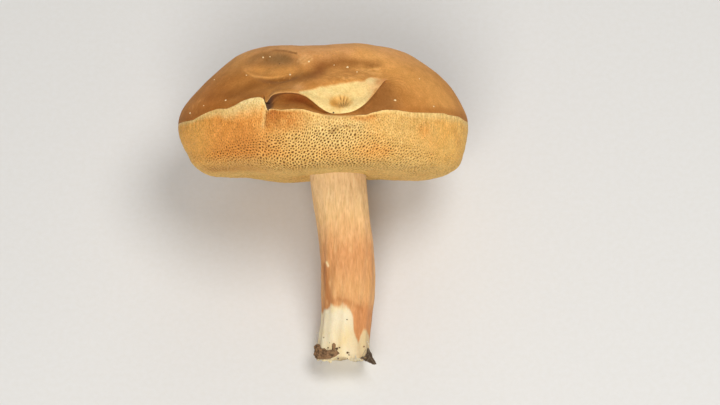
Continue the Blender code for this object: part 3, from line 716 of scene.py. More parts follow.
def cap_skin(bearing, station, look):
    """A point of the cap's skin: station 0 on top, LIP_STATION at the lip's edge, 1 at the margin."""
    edge_height = lip_edge(bearing)
    recess = lip_recess(bearing)
    above_lip = np.clip(station / LIP_STATION, 0.0, 1.0)
    below_lip = np.clip((station - LIP_STATION) / (1.0 - LIP_STATION), 0.0, 1.0)
    edge_length = length_at(edge_height)
    tucked = np.clip(recess, 0.0, 1.0)
    descent = np.clip((below_lip - UNDERHANG) / (1.0 - UNDERHANG), 0.0, 1.0)
    descent = below_lip + tucked * (descent - below_lip)
    length = above_lip * edge_length + descent * (rim_length(bearing) - edge_length)
    radius, height, out_radial, out_upward = head_outline(length)
    spots = place(radius, bearing, height)
    across, up = seen_from_front(spots)
    front = rise(np.cos(bearing), 0.15, 0.4)
    set_back = recess * rise(below_lip, 0.0, UNDERHANG) * (1.0 - 0.7 * rise(below_lip, 0.45, 1.0))
    above = height - edge_height
    lip_side = rise(bearing, *LIP_LEFT) * fall(bearing, *LIP_RIGHT)
    rolled_edge = LIP_ROLL * lip_side * bump(above, 0.4, 1.6)
    lip = LIP_BULGE * bump(bearing, 0.12, 0.24) * bump(above, 2.5, 5.0)
    valley_height = read_line(across, VALLEY_LINE)
    valley = VALLEY_DEPTH * bump(height, valley_height, VALLEY_WIDTH)
    valley *= rise(across, -33, -20) * fall(across, 14, 26)
    dish = DISH_DEPTH * fall(oval(across, up, DISH), 0.0, 1.6)
    dimple = DIMPLE_DEPTH * fall(oval(across, up, DIMPLE), 0.35, 1.02)
    crease_side = crease_gap(across, up)
    crease = CREASE_DEPTH * rise(crease_side, -0.15, 0.2) * fall(crease_side, 0.6, 4.0)
    crease *= rise(across, -21, -17) * fall(across, -8.5, -6.0)
    pit_reach = oval(across, up, PIT)
    pit = look.pit_depth / MM * fall(pit_reach, 0.15, 1.05)
    groove = GROOVE_DEPTH * (2.0 * pit_rays(spots, across, up) - 1.0) * bump(pit_reach, 0.45, 0.4)
    groove *= rise(across, 3.6, 4.8)
    wound = wound_mask(spots, across, up, above, front)
    relief = front * (rolled_edge + lip - valley - dish - dimple - crease - pit * wound - groove * wound)
    relief += 0.12 * rough_noise(spots, 7, 41) * rise(above, -1, 4)
    relief += look.suede_relief / MM * rough_noise(spots, 0.9, 45)
    relief -= WOUND_DEPTH * wound * rise(above, 0.2, 1.5)
    relief += 0.05 * wound * rough_noise(spots, 0.6, 49)
    relief += 0.2 * lip_side * bump(above, 0.1, 0.3)
    relief += 0.05 * front * growth_lines(spots, across, up)
    relief += body_waves(bearing, height) * rise(radius, 2, 20)
    relief += 0.6 * np.sin(bearing) * rise(height, 70, 78) * rise(radius, 0.0, 12)
    relief += read_line(across, TOP_WAVE) * rise(height, 80, 86)
    droop = LIP_DROOP * bump(bearing, 0.12, 0.14) * bump(np.maximum(above, 0.0), 0.0, 2.5)
    droop *= fall(below_lip, 0.0, UNDERHANG)
    radius = radius + relief * out_radial - set_back
    height = height + relief * out_upward - droop
    return radius, height, {"wound": wound, "above": above, "below_lip": below_lip, "recess": recess}


def crease_gap(across, up):
    """How far below the crease in the dimple each point is."""
    return read_line(across, CREASE) - up


def growth_lines(spots, across, up):
    """Faint rings of growth on the right of the cap, as a wave that fades out around them."""
    rings = np.hypot(across - GROWTH_LINES_MIDDLE[0], (up - GROWTH_LINES_MIDDLE[1]) * 1.3)
    near = fall(rings, 3.5, 7.0) * rise(rings, 0.6, 1.6)
    return near * np.sin(7.5 * rings + 2.0 * soft_noise(spots, 3, 53))


def wound_mask(spots, across, up, above, front):
    """One on the bare flesh of the lip: an uneven outline that stops at the lip's edge."""
    shake_across = 0.35 * rough_noise(spots, 2.2, 21)
    shake_up = 0.3 * rough_noise(spots, 1.2, 25)
    inside = patch(across + shake_across, up + shake_up, WOUND, 0.35)
    return inside * front * rise(above, -0.12, 0.0)


def paint_cap(spots, marks, look):
    """Colours of the cap's skin, its hollows and the bare flesh."""
    sharp = seen_from_front(spots)
    front = rise(-spots[:, 1], 2, 14)
    across, up = (view + 0.7 * rough_noise(spots, 4, seed) for view, seed in zip(sharp, (61, 64)))
    paint = Paint(look.skin, across, up, front)
    paint.coat(look.crown, 0.85 * rise(spots[:, 2], 78, 86))
    patches = rough_noise(spots, 14, 67)
    paint.coat(look.worn, 0.3 * rise(patches, 0.1, 0.6))
    paint.coat(look.shade, 0.3 * rise(-patches, 0.1, 0.6))
    paint.coat(look.shade, 0.42 * front * rise(-across, 2, 22) * fall(up, 82, 87))
    paint.line(look.worn, 0.45, OUTER_STREAK, 2.0)
    paint.line(look.worn, 0.6, BRIGHT_SHOULDER, 3.2)
    paint.line(look.worn, 0.25, BACK_STREAK, 3.0)
    paint.line(tone(146, 90, 38), 0.78, SHADED_BAND, 1.7)
    # Red-brown suede at the valley's darkest spot, partly painted shade
    paint.blot(look.rust, 0.5, (-1.0, 82.0), (2.6, 2.2))
    # Painted shade on the skin to the right of the lip, where it is set back
    paint.blot(tone(162, 108, 56), 0.4, (18.5, 73.2), (5.5, 4.0))
    worn = rise(rough_noise(spots * (0.5, 0.5, 1.0), 1.1, 69), -0.5, 0.3)
    rubbed = front * streak(across, up, WORN_STREAK, 1.6)
    paint.coat(look.worn, 0.9 * worn * rubbed)
    paint.coat(tone(244, 188, 118), 0.3 * rise(worn, 0.6, 1.0) * rise(rubbed, 0.5, 1.0))
    paint.blot(tone(240, 176, 110), 0.6, (-7.0, 77.1), (1.9, 0.8))
    flecks = rough_noise(spots, 1.7, 77)
    paint.blot(look.worn, 0.45 * rise(flecks, 0.05, 0.45), (8.0, 80.2), (8.0, 2.6))
    paint.blot(look.shade, 0.4 * rise(-flecks, 0.05, 0.45), (8.0, 80.2), (8.0, 2.6))

    paint.across, paint.up = sharp
    in_dimple = fall(oval(*sharp, DIMPLE), 0.6, 1.0)
    paint_dimple(paint, in_dimple, across, look)
    paint.coat(look.shade, 0.35 * front * np.clip(growth_lines(spots, *sharp), 0.0, 1.0))
    paint.coat(tone(204, 122, 50), 0.5 * front * rise(-across, 22, 34))
    scratches = soft_noise(spots * (1.0, 1.0, 0.25), 0.5, 73) * rise(soft_noise(spots, 5, 74), -0.2, 0.5)
    paint.coat(look.worn, 0.35 * rise(scratches, 0.35, 0.7) * (1.0 - front * in_dimple))
    paint.coat(look.shade, 0.5 * bump(marks["above_rim"], 0.6, 1.3))
    # Painted shade over the skin tucked under the lip
    under_edge = rise(marks["below_lip"], 0.0, 0.08)
    hollow = hollow_shade_colours(across, up, marks["below_lip"], look)
    paint.coat(hollow, np.clip(marks["recess"], 0.0, 1.0) * under_edge)
    # The lip's thin tan edge, lighter as a painted highlight
    tan_edge_and_highlight = bump(marks["above"], 0.15, 0.35) * rise(across, -16.5, -15.5) * fall(across, 15, 17)
    paint.coat(look.margin, 0.6 * front * tan_edge_and_highlight * (1.0 - under_edge))
    paint.coat(flesh_colours(spots, *sharp, look), marks["wound"])
    return paint.colours


def paint_dimple(paint, in_dimple, across, look):
    """The dimple: olive, painted shade above and under the crease, painted light below, and scratches."""
    # Olive, thickest on the upper wall, which faces down: colour and painted shade together
    high = (0.15 + 0.85 * rise(paint.up, 81.8, 84.6)) * (1.0 - 0.7 * rise(across, -11, -6))
    paint.coat(look.dimple, 0.85 * paint.front * in_dimple * high)
    # Painted shade under the crease
    crease_shade = rise(crease_gap(paint.across, paint.up), -0.3, 0.1)
    paint.blot(tone(130, 96, 56), 0.75 * crease_shade, (-12.0, 85.2), (4.4, 2.1))
    # Painted light on the lower wall, which faces up, and a painted highlight along the rim
    paint.coat(look.worn, 0.5 * paint.front * in_dimple * bump(paint.up, 81.6, 1.3))
    paint.line(look.worn, 0.8 * rise(across, -23, -20) * fall(across, -13, -9), LIT_CRESCENT, 0.35)
    for scratch in SCRATCHES:
        paint.line(tone(250, 196, 128), 0.45, scratch, 0.3)
    # Painted shadow along the crease at the dimple's upper edge
    crease_shadow_line = [(x, y + 0.3) for x, y in CREASE[:-1]]
    paint.line(tone(128, 82, 38), 0.8 * (0.35 + 0.65 * rise(paint.across, -16, -12)), crease_shadow_line, 0.32)


def hollow_shade_colours(across, up, below_lip, look):
    """Painted shade under the lip: the skin darkened, rusty in the middle and darkest in its left corner."""
    hollow = Paint(look.hollow, across, up, 1.0)
    hollow.coat(tone(172, 118, 60), 0.8 * rise(below_lip, 0.6, 0.95))
    hollow.coat(tone(158, 74, 30), 0.6 * bump(across, -6, 4.5) * bump(below_lip, 0.5, 0.22))
    # Painted shade: darker under the arch on the left, darkest in the left corner, darker at the right end
    hollow.coat(tone(118, 80, 52), 0.5 * rise(-across, 10.5, 14.0) * fall(below_lip, 0.35, 0.75))
    hollow.coat(tone(72, 56, 52), 0.8 * rise(-across, 13.6, 15.2))
    hollow.coat(tone(146, 92, 44), 0.7 * rise(across, 7, 12))
    return hollow.colours


def flesh_colours(spots, across, up, look):
    """Colours of the bare flesh: cream, tan towards the right, and stained in the pit."""
    flesh = Paint(look.flesh, across, up, 1.0)
    flesh.coat(tone(246, 206, 140), 0.7 * rise(across + 0.6 * (up - 75), 9, 15))
    flesh.coat(tone(236, 190, 116), 0.45 * rise(rough_noise(spots, 2.5, 71), 0.0, 0.6))
    flesh.coat(tone(244, 186, 118), 0.75 * rise(across, 12.0, 15.5))
    flesh.blot(look.flesh, 0.7, (13.6, 79.0), (1.5, 0.9))
    flesh.blot(look.skin, 0.6, (15.2, 78.7), (0.9, 0.7))
    flesh.coat(tone(218, 144, 74), 0.8 * rise(across, 14.6, 17.0))
    reach = oval(across, up, PIT) + 0.12 * soft_noise(spots, 1.2, 75)
    rays = pit_rays(spots, across, up)
    flesh.coat(tone(238, 188, 108), 0.85 * fall(reach, 0.65, 1.1))
    flesh.coat(look.pit, 0.6 * rays * rise(across, 3.4, 4.8) * fall(reach, 0.5, 1.0))
    flesh.blot(tone(216, 148, 60), 0.85 * fall(reach, 0.85, 1.3), (2.7, 72.4), (2.0, 1.7))
    dark_side = rise(across, 4.0, 4.8) * fall(across, 6.6, 8.0)
    flesh.coat(look.stain, rays ** 2 * bump(reach, 0.3, 0.5) * dark_side)
    return flesh.colours


def pit_rays(spots, across, up):
    """One along the grooves that fan up from the root of the pit, and zero between them."""
    turn = np.arctan2(up - PIT_ROOT[1], across - PIT_ROOT[0])
    return 0.5 + 0.5 * np.cos(PIT_GROOVES * turn + 2.5 * soft_noise(spots, 1.6, 31))


def make_cap(look):
    """The cap: its skin from the top over the lip to the margin, closed underneath along the seam."""
    ring = crowd_front(all_round(CAP_COLUMNS), CAP_CROWDING)
    above = LIP_STATION * (1.0 - (1.0 - np.linspace(0.0, 1.0, CAP_ROWS_ABOVE)) ** 1.5)
    below = np.linspace(LIP_STATION, 1.0, CAP_ROWS_BELOW + 1)[1:]
    station, bearing = np.meshgrid(np.concatenate([above, below]), ring, indexing="ij")
    radius, height, marks = cap_skin(bearing, station, look)
    marks["above_rim"] = height - rim_height(bearing)
    height[-1] = seam_height(radius[-1], ring) + SEAM_GAP
    skin = place(radius, bearing, height)
    inner = [np.minimum(size, radius[-1] - MARGIN_THICKNESS) for size in UNDERSIDE_RADII]
    under = np.stack([place(size, ring, seam_height(size, ring) + 2 * SEAM_GAP) for size in inner])
    spots = np.concatenate([skin, under]).reshape(-1, 3)
    rows = len(skin) + len(under)
    pad = np.zeros((len(under), CAP_COLUMNS))
    marks = {key: np.concatenate([values, pad]).ravel() for key, values in marks.items()}
    paint = paint_cap(spots, marks, look)
    layers = {"paint": paint, "bare": marks["wound"]}
    faces = ring_faces(rows, CAP_COLUMNS)
    make_piece("cap_skin", spots, faces, layers, suede_material(), ["cap"])


RIM_COLUMNS = 420
RIM_CROWDING = 0.3
FRONT_HALF_TURN = math.radians(62)
# Shares along the tubes' face: where the pores begin and end, and where the underside begins
MARGIN_SHARE = 0.022
LAST_PORE_SHARE = 0.985
UNDERSIDE_SHARE = 0.45
PORE_CANDIDATES = 230000
# What the mean distance between pores is, as a multiple of the least distance
PITCH_OF_SPACING = 1.288
# How much more a gap along the pores' short direction counts, where they are open and at the sides
PORE_STRETCH = 2.0
FLANK_STRETCH = 3.0
# Cell of the grid in which near pores are looked up, in millimetres
GRID_STEP = 0.9
# A pore's mouth and throat, as (share of its width, share of its depth)
PORE_MOUTH = (1.0, 0.05)
PORE_THROAT = (0.82, 0.45)
# Upper edge of the open pores, and the lean of their long axis in degrees, along the front
PORE_TOP = [
    (-40.0, 58.5), (-34.6, 59.8), (-26.1, 62.4), (-17.2, 64.2), (-9.3, 65.4), (-3.7, 66.4), (3.4, 67.6),
    (10.4, 67.2), (16.0, 64.7), (21.6, 62.4), (30.0, 60.3), (40.0, 58.5),
]
PORE_LEAN = [(-36, 5), (-15, 8), (-8, 32), (0, 58), (6, 70), (12, 52), (20, 25), (36, 8)]
# How far down the pale margin reaches, as (across in millimetres, share of the tubes' face)
MARGIN_WIDTH = [
    (-38, 0.03), (-33, 0.05), (-27, 0.08), (-22, 0.10), (-18, 0.10), (-16.8, 0.03), (-16, 0.006),
    (-12, 0.006), (-9, 0.015), (14, 0.015), (17, 0.03), (30, 0.05), (38, 0.05),
]
# Soft lines on the tubes, as (colour, share, line of (across, up), width)
TUBE_STREAKS = [
    # Painted shade under the lip's right end; the line after it is bruising on the far right
    ("bruise_and_shade", 0.7, [(8.2, 68.9), (11.0, 68.3), (14.0, 69.0)], 0.9),
    ("bruise_and_shade", 0.6, [(36.6, 66.0), (38.0, 61.5)], 1.1),
    ("pale_wall", 0.9, [(3.0, 69.0), (5.5, 67.4), (10.0, 66.6)], 1.2),
    ("mouth", 0.55, [(2.8, 64.3), (3.4, 65.4), (4.8, 66.3), (7.2, 66.2), (9.3, 66.4)], 0.3),
    ("mouth", 0.7, [(2.0, 64.4), (3.0, 65.6)], 0.3),
    ("margin", 0.8, [(-16.35, 73.6), (-16.5, 70.0), (-17.0, 66.0)], 0.4),
    # Painted shadow beside the fold
    ("mouth", 0.6, [(-15.7, 72.0), (-15.9, 69.0), (-16.2, 66.5)], 0.4),
    # Painted shade where the tubes meet the stem
    ("mouth", 0.6, [(-6.5, 52.4), (-3.4, 51.4)], 0.8),
]


def tube_relief(bearing, radius, height):
    """Unevenness of the tubes' outer face, with the hollow to the right of the fold."""
    beside_fold = rise(bearing, FOLD_BEARING - 0.02, FOLD_BEARING + 0.02)
    beside_fold *= fall(bearing, FOLD_BEARING + 0.05, 0.0)
    hollow = FOLD_DEPTH * beside_fold * rise(height, 60, 66)
    return body_waves(bearing, height) * rise(radius, 12, 34) - hollow


def stem_shift(radius, height):
    """Moves rings near the stem over to the stem's own middle, which is off the cap's axis."""
    share = fall(radius, 8.6, 32)
    across = share * np.interp(height, STEM_MIDDLES[:, 1], STEM_MIDDLES[:, 0])
    return np.stack([across, np.zeros_like(across), np.zeros_like(across)], axis=-1)


def tube_skin(bearing, share):
    """A point of the tubes' outer face, share 0 at the cap's margin and 1 at the stem."""
    bearing = (bearing + math.pi) % (2 * math.pi) - math.pi
    start = length_at(RIM_HEIGHT)
    length = start + share * (HEAD_LENGTH - start) + (rim_length(bearing) - start) * (1.0 - share) ** 4
    radius, height, out_radial, out_upward = head_outline(length)
    across = radius * np.sin(bearing)
    relief = tube_relief(bearing, radius, height)
    relief -= bump(bearing, -1.45, 0.6) * bump(height, 57.5, 4)
    relief += 0.7 * bump(bearing, 1.45, 0.6) * bump(height, 54.5, 4)
    sag = 1.1 * bump(across, -10, 8) - 0.6 * bump(across, -22, 5)
    sag += 0.6 * bump(across, 28, 7) + 0.5 * bump(across, -32, 3)
    sag *= rise(radius, 9, 16) * fall(height, 54, 62)
    height = height - sag + relief * out_upward * rise(share, 0.0, 0.15)
    return place(radius + relief * out_radial, bearing, height) + stem_shift(radius, height)


def uneven(spots, inward, shares):
    """Tube ends of slightly unequal length, level at the margin and round the stem."""
    lump = 0.18 * rough_noise(spots, 2.4, 93) * rise(shares, 0.02, 0.08)
    lump *= fall(shares, 0.9, 1.0)
    return spots - inward * lump[:, None]


def unroll_table():
    """Share along the tubes' face against the radius of its flat, shape-keeping map and its area."""
    share = np.linspace(0.0, 1.0, 400)
    start = rim_length(math.pi)
    radius = head_outline(start + share * (HEAD_LENGTH - start))[0]
    stretch = np.cumsum((HEAD_LENGTH - start) / (len(share) - 1) / radius)
    area = np.cumsum(radius)
    return share, np.exp(stretch[0] - stretch), area / area[-1]


def open_zone(spots):
    """How far each point is inside the zone of open pores: on the front, and all over the underside."""
    across, up = seen_from_front(spots)
    front = rise(-spots[:, 1], 0.0, 16)
    top = read_line(across, PORE_TOP)
    below_top = rise(top - up, -1.5, 3.5)
    behind = fall(spots[:, 2], 56, 64)
    return front * below_top + (1.0 - front) * behind, front, across, up


def turned_under(spots):
    """One from the rounded lower edge of the tubes inwards, zero on their upright face."""
    return fall(spots[:, 2], 53, 57)


def pore_spacing(spots, look):
    """Least distance between pore middles: wide under the lip, closer at the sides and the rim."""
    zone, front, across, _ = open_zone(spots)
    middle = bump(across, 0.0, 17)
    open_share = zone * (front * (1.6 - 0.6 * middle) + 1.0 - front)
    pitch = look.pitch / MM * (0.88 + 0.12 * open_share + 0.12 * (1.0 - front))
    return pitch * (1.0 + 0.15 * turned_under(spots)) / PITCH_OF_SPACING


def short_direction(spots, inward):
    """Short direction of each pore's mouth, along the face."""
    zone, front, across, _ = open_zone(spots)
    lean = np.radians(read_line(across, PORE_LEAN))
    lean = np.where(front > 0.5, lean, 0.6 * soft_noise(spots, 11, 91))
    zone = zone * (1.0 - turned_under(spots))
    lean = lean * zone + (1.0 - zone) * math.pi / 2 + 0.45 * soft_noise(spots, 2.0, 92)
    level = np.cross(inward, np.array([0.0, 0.0, 1.0]))
    level /= np.maximum(np.linalg.norm(level, axis=1, keepdims=True), 0.05)
    steep = np.cross(level, inward)
    return steep * np.cos(lean)[:, None] - level * np.sin(lean)[:, None]


def scatter_pores(look):
    """Bearings and shares of pore middles, thrown at random and kept where none is too near."""
    rng = np.random.default_rng(7)
    share_steps, _, area = unroll_table()
    bearings = rng.uniform(-math.pi, math.pi, PORE_CANDIDATES)
    shares = np.interp(rng.uniform(0.0, 1.0, PORE_CANDIDATES), area, share_steps)
    keep = (shares > MARGIN_SHARE) & (shares < LAST_PORE_SHARE)
    bearings, shares = bearings[keep], shares[keep]
    spots = tube_skin(bearings, shares)
    short = short_direction(spots, inward_direction(bearings, shares))
    least = pore_spacing(spots, look) ** 2
    upright = np.maximum(open_zone(spots)[0], turned_under(spots))
    stretch = FLANK_STRETCH + (PORE_STRETCH - FLANK_STRETCH) * upright
    cells = np.floor(spots / GRID_STEP).astype(int)
    rows = zip(spots.tolist(), cells.tolist(), short.tolist(), least.tolist(), stretch.tolist())
    nearby = list(itertools.product((-1, 0, 1), repeat=3))
    taken, kept = {}, []
    for number, ((x, y, z), (a, b, c), (p, q, r), limit, squeeze) in enumerate(rows):
        close = False
        for i, j, k in nearby:
            for u, v, w in taken.get((a + i, b + j, c + k), ()):
                u, v, w = x - u, y - v, z - w
                if u * u + v * v + w * w + squeeze * (u * p + v * q + w * r) ** 2 < limit:
                    close = True
                    break
            if close:
                break
        if not close:
            taken.setdefault((a, b, c), []).append((x, y, z))
            kept.append(number)
    return bearings[kept], shares[kept]


def joined_net(flat, inner_count):
    """Triangles between the pore middles on the flat map, leaving out those that fill the stem's hole."""
    filled = geometry.delaunay_2d_cdt([Vector(spot) for spot in flat], [], [], 0, 1e-9)
    source = np.array([origins[0] for origins in filled[3]])
    triangles = source[np.array(filled[2])]
    return triangles[(triangles < len(flat) - inner_count).any(axis=1)]


def even_out(bearings, shares, ring):
    """Moves each pore to the middle of its own cell, so that the cells come out even."""
    count = len(bearings)
    flat = flat_map(*with_rims(bearings, shares, ring))
    triangles = joined_net(flat, len(ring))
    middles = flat[triangles].mean(axis=1)
    total, number = np.zeros((len(flat), 2)), np.zeros(len(flat))
    for corner in range(3):
        np.add.at(total, triangles[:, corner], middles)
        np.add.at(number, triangles[:, corner], 1)
    moved = 0.5 * flat[:count] + 0.5 * (total / np.maximum(number, 1)[:, None])[:count]
    bearings, shares = off_map(moved)
    return bearings, np.clip(shares, MARGIN_SHARE, LAST_PORE_SHARE)


def with_rims(bearings, shares, ring):
    """Adds the points of the cap's margin and of the stem's hole after the pores."""
    return np.concatenate([bearings, ring, ring]), np.concatenate([shares, 0 * ring, 0 * ring + 1.0])


def off_map(spots):
    """Bearings and shares of points on the flat map."""
    share_steps, map_radius, _ = unroll_table()
    return np.arctan2(spots[:, 0], -spots[:, 1]), np.interp(-np.hypot(*spots.T), -map_radius, share_steps)


def flat_map(bearings, shares):
    """The tubes' face spread out flat, keeping small shapes, with the stem's hole in its middle."""
    share_steps, map_radius, _ = unroll_table()
    reach = np.interp(shares, share_steps, map_radius)
    return np.stack([reach * np.sin(bearings), -reach * np.cos(bearings)], axis=-1)


def margin_share(across, front, shake=0.0):
    """How far down the tubes' face the pale margin reaches."""
    width = read_line(across + shake, MARGIN_WIDTH)
    return np.where(front > 0.2, width, MARGIN_SHARE)


def pore_opening(spots, shares):
    """How open each pore is: one under the lip, small where the tubes show from the side."""
    zone, front, across, _ = open_zone(spots)
    strength = front * (0.92 + 0.08 * bump(across, -1, 17)) + 0.75 * (1.0 - front)
    opening = 0.16 + 0.84 * zone * strength
    band = margin_share(across, front)
    return opening * rise(shares, 0.6 * band, 1.2 * band)


def paint_walls(spots, shares, look):
    """Colours of the pore walls."""
    across, up = seen_from_front(spots)
    front = rise(-spots[:, 1], 0, 16)
    cloud = rough_noise(spots, 7, 81)
    fine = rough_noise(spots, 1.3, 85)
    wide = across + 2 * cloud
    paint = Paint(look.wall, across, up, front)
    paint.coat(look.tan_wall, 0.5 * rise(cloud, 0.0, 0.6))
    paint.coat(look.pale_wall, 0.5 * rise(-cloud, 0.0, 0.6))
    paint.coat(look.tan_wall, 0.85 * front * rise(-wide, 8, 24))
    paint.coat(look.pale_wall, 0.8 * front * bump(wide, 3, 9) * bump(up, 65, 6))
    # Painted shade beside the fold, under the overhanging lip
    beside_fold = rise(across, -16.4, -15.8) * fall(wide, -10, -2) * rise(up + 1.5 * cloud, 63.5, 68.5)
    paint.coat(look.bruise_and_shade, 0.9 * front * beside_fold * (0.85 + 0.5 * np.clip(fine, -0.5, 0.3)))
    # Painted shade in the corner beside the fold
    paint.blot(tone(176, 98, 40), 0.6, (-14.3, 70.0), (1.5, 2.4))
    for colour, share, line, width in TUBE_STREAKS:
        paint.line(getattr(look, colour), share, line, width)
    paint.blot(tone(206, 132, 60), 0.5, (-22, 61), (7, 9))
    paint.coat(tone(255, 194, 98), 0.55 * front * (rise(across, 28, 36) + rise(-across, 29, 36)))
    low = fall(spots[:, 2] - 0.8 * cloud, 53.5, 57.0)
    paint.coat(tone(248, 204, 122), 0.5 * low)
    # Olive tan round the underside, partly painted shade
    paint.coat(look.low_edge, 0.25 * low * (0.5 + 0.5 * cloud))
    paint.coat(tone(192, 134, 62), 0.6 * front * rise(-across, 12, 24) * fall(up, 53.5, 56.0))
    paint.coat(look.mouth, 0.14 * rise(fine, 0.1, 0.6))
    width = margin_share(across, front, 1.5 * fine) * (1.0 + 0.5 * cloud)
    paint.coat(look.margin, 0.9 * fall(shares, 0.2 * width, width))
    brightest = bump(across, -20.5, 4.5) * fall(shares, 0.1 * width, 0.7 * width)
    paint.coat(tone(252, 226, 160), 0.7 * front * brightest)
    return paint.colours


def inner_rings(ring):
    """Hidden faces of the tube layer against the cap and round the stem, from the margin inwards."""
    inner, underside = HEAD_LINE[-1]
    sizes = [(SEAM_FLAT_RADIUS, SEAM_HEIGHT), (inner, SEAM_HEIGHT), (inner, (SEAM_HEIGHT + underside) / 2)]
    rings = []
    for size, level in sizes:
        radius, height = np.full(len(ring), size), np.full(len(ring), level)
        rings.append(place(radius, ring, height) + stem_shift(radius, height))
    return np.concatenate(rings)


def make_tubes(look):
    """The tube layer: a net of walls round the pores, each pore a pit that narrows inwards."""
    ring = crowd_front(all_round(RIM_COLUMNS), RIM_CROWDING)
    bearings, shares = even_out(*scatter_pores(look), ring)
    pores = len(bearings)
    bearings, shares = with_rims(bearings, shares, ring)
    flat = flat_map(bearings, shares)
    triangles = joined_net(flat, RIM_COLUMNS)
    net_bearings, net_shares = off_map(flat[triangles].mean(axis=1))
    net_inward = inward_direction(net_bearings, net_shares)
    net = uneven(tube_skin(net_bearings, net_shares), net_inward, net_shares)
    inward = inward_direction(bearings, shares)
    centres = uneven(tube_skin(bearings, shares), inward, shares)
    rng = np.random.default_rng(19)
    opening = pore_opening(centres, shares)
    opening[pores:] = 0.0
    opening[:pores] *= rng.uniform(0.6, 1.1, pores)
    depth = look.depth / MM * (0.15 + 0.85 * opening) * rise(height_when_laid(centres), 0.0, 0.8)
    depth[pores:] = 0.0
    low = turned_under(centres)
    mouth_share = 0.5 + (0.2 + 0.06 * low) * opening
    short = short_direction(centres, inward)
    owner = triangles.ravel()
    spread = net[np.repeat(np.arange(len(triangles)), 3)] - centres[owner]
    spread = spread - 0.4 * (spread * short[owner]).sum(axis=1, keepdims=True) * short[owner]
    shaft = inward + shaft_slant(centres, shares)
    shaft /= np.linalg.norm(shaft, axis=1, keepdims=True)
    spread = spread * mouth_share[owner, None]
    plunge = shaft * depth[:, None]
    mouth, throat = (
        centres[owner] + spread * width + plunge[owner] * sunk
        for width, sunk in (PORE_MOUTH, PORE_THROAT)
    )
    ridge_lift = 0.06 * rng.uniform(-1.0, 1.0, len(net))
    parts = [net - net_inward * ridge_lift[:, None], centres + plunge, mouth, throat]

    # Painted shade inside the pores: darker the more open a pore is, and darker still round the low edge
    dark = np.clip(0.3 + 0.8 * opening, 0.0, 1.0)
    own_wall = paint_walls(centres, shares, look) * rng.uniform(0.90, 1.06, len(centres))[:, None]
    deep = mix(np.tile(look.mouth, (len(centres), 1)), tone(96, 60, 24), 0.6 * low)
    colours = [
        paint_walls(net, net_shares, look),
        mix(own_wall, look.mouth, np.where(np.arange(len(centres)) < pores, dark, 0.0)),
        mix(own_wall[owner], deep[owner], (0.2 + 0.15 * low[owner]) * dark[owner]),
        mix(own_wall[owner], deep[owner], 0.85 * dark[owner]),
    ]
    spots = np.concatenate(parts)
    inside = inner_rings(ring)
    paint = np.concatenate([*colours, np.tile(look.pale_wall, (len(inside), 1))])
    flank = np.concatenate([flank_mark(spots), np.zeros(len(inside))])
    firsts = np.cumsum([len(part) for part in parts]).tolist()
    faces = pore_faces(triangles.tolist(), firsts, pores, bearings, shares)
    rim_start = firsts[0] + pores
    starts = [rim_start, *(firsts[-1] + k * RIM_COLUMNS for k in range(3)), rim_start + RIM_COLUMNS]
    for start, end in zip(starts, starts[1:]):
        for k in range(RIM_COLUMNS):
            after = (k + 1) % RIM_COLUMNS
            faces["tube_underside"].append((start + k, start + after, end + after, end + k))
    spots = np.concatenate([spots, inside])
    material = tube_material()
    for name, own_faces in faces.items():
        used, renumbered = renumber(own_faces)
        layers = {"paint": paint[used], "flank": flank[used]}
        make_piece(name, spots[used], renumbered, layers, material, ["tube_layer"])


def pore_faces(triangles, firsts, pores, bearings, shares):
    """Faces of the walls and pits, by piece; firsts holds the first bottom, mouth and throat point."""
    first_bottom, first_mouth, first_throat, _ = firsts
    left_of = {}
    for number, corners in enumerate(triangles):
        for k in range(3):
            left_of[(corners[k], corners[(k + 1) % 3])] = 3 * number + k
    faces = {"tube_front": [], "tube_flank": [], "tube_underside": []}
    on_front = (np.abs(bearings) < FRONT_HALF_TURN).tolist()
    for (a, b), edge in left_of.items():
        side = "tube_front" if on_front[a] else "tube_flank"
        own = faces["tube_underside" if shares[a] > UNDERSIDE_SHARE else side]
        here, bottom = edge // 3, first_bottom + a
        twin = left_of.get((b, a))
        if twin is None:
            own.append((bottom, first_bottom + b, here))
            continue
        there = twin // 3
        if a >= pores:
            own.append((bottom, there, here))
            continue
        far = 3 * there + (twin + 1) % 3
        own.append((there, here, first_mouth + edge, first_mouth + far))
        own.append((first_mouth + far, first_mouth + edge, first_throat + edge, first_throat + far))
        own.append((first_throat + far, first_throat + edge, bottom))
    return faces


def shaft_slant(spots, shares):
    """Slant of the pores: level where the face turns under, and straight back on the front's sides."""
    middle_out = spots * (1.0, 1.0, 0.0) / np.linalg.norm(spots[:, :2], axis=1, keepdims=True)
    low_edge = turned_under(spots) * fall(shares, UNDERSIDE_SHARE - 0.1, UNDERSIDE_SHARE + 0.08)
    front = rise(-spots[:, 1], 2, 18)
    return -1.3 * low_edge[:, None] * middle_out + 0.6 * front[:, None] * np.array([0.0, 1.0, 0.0])


def renumber(faces):
    """Points that these faces use, and the faces with those points counted from zero."""
    used = np.unique(np.concatenate([np.array(face) for face in faces]))
    new_number = dict(zip(used.tolist(), range(len(used))))
    return used, [[new_number[corner] for corner in face] for face in faces]


def inward_direction(bearings, shares):
    """Direction into the tubes at points of their outer face."""
    step = 0.002
    shares = np.clip(shares, step, 1.0 - step)
    along = tube_skin(bearings, shares + step) - tube_skin(bearings, shares - step)
    around = tube_skin(bearings + step, shares) - tube_skin(bearings - step, shares)
    inward = np.cross(along, around)
    inward /= np.linalg.norm(inward, axis=1, keepdims=True)
    towards = np.array([0.0, 0.0, RIM_HEIGHT]) - tube_skin(bearings, shares)
    return inward * np.sign((inward * towards).sum(axis=1, keepdims=True))


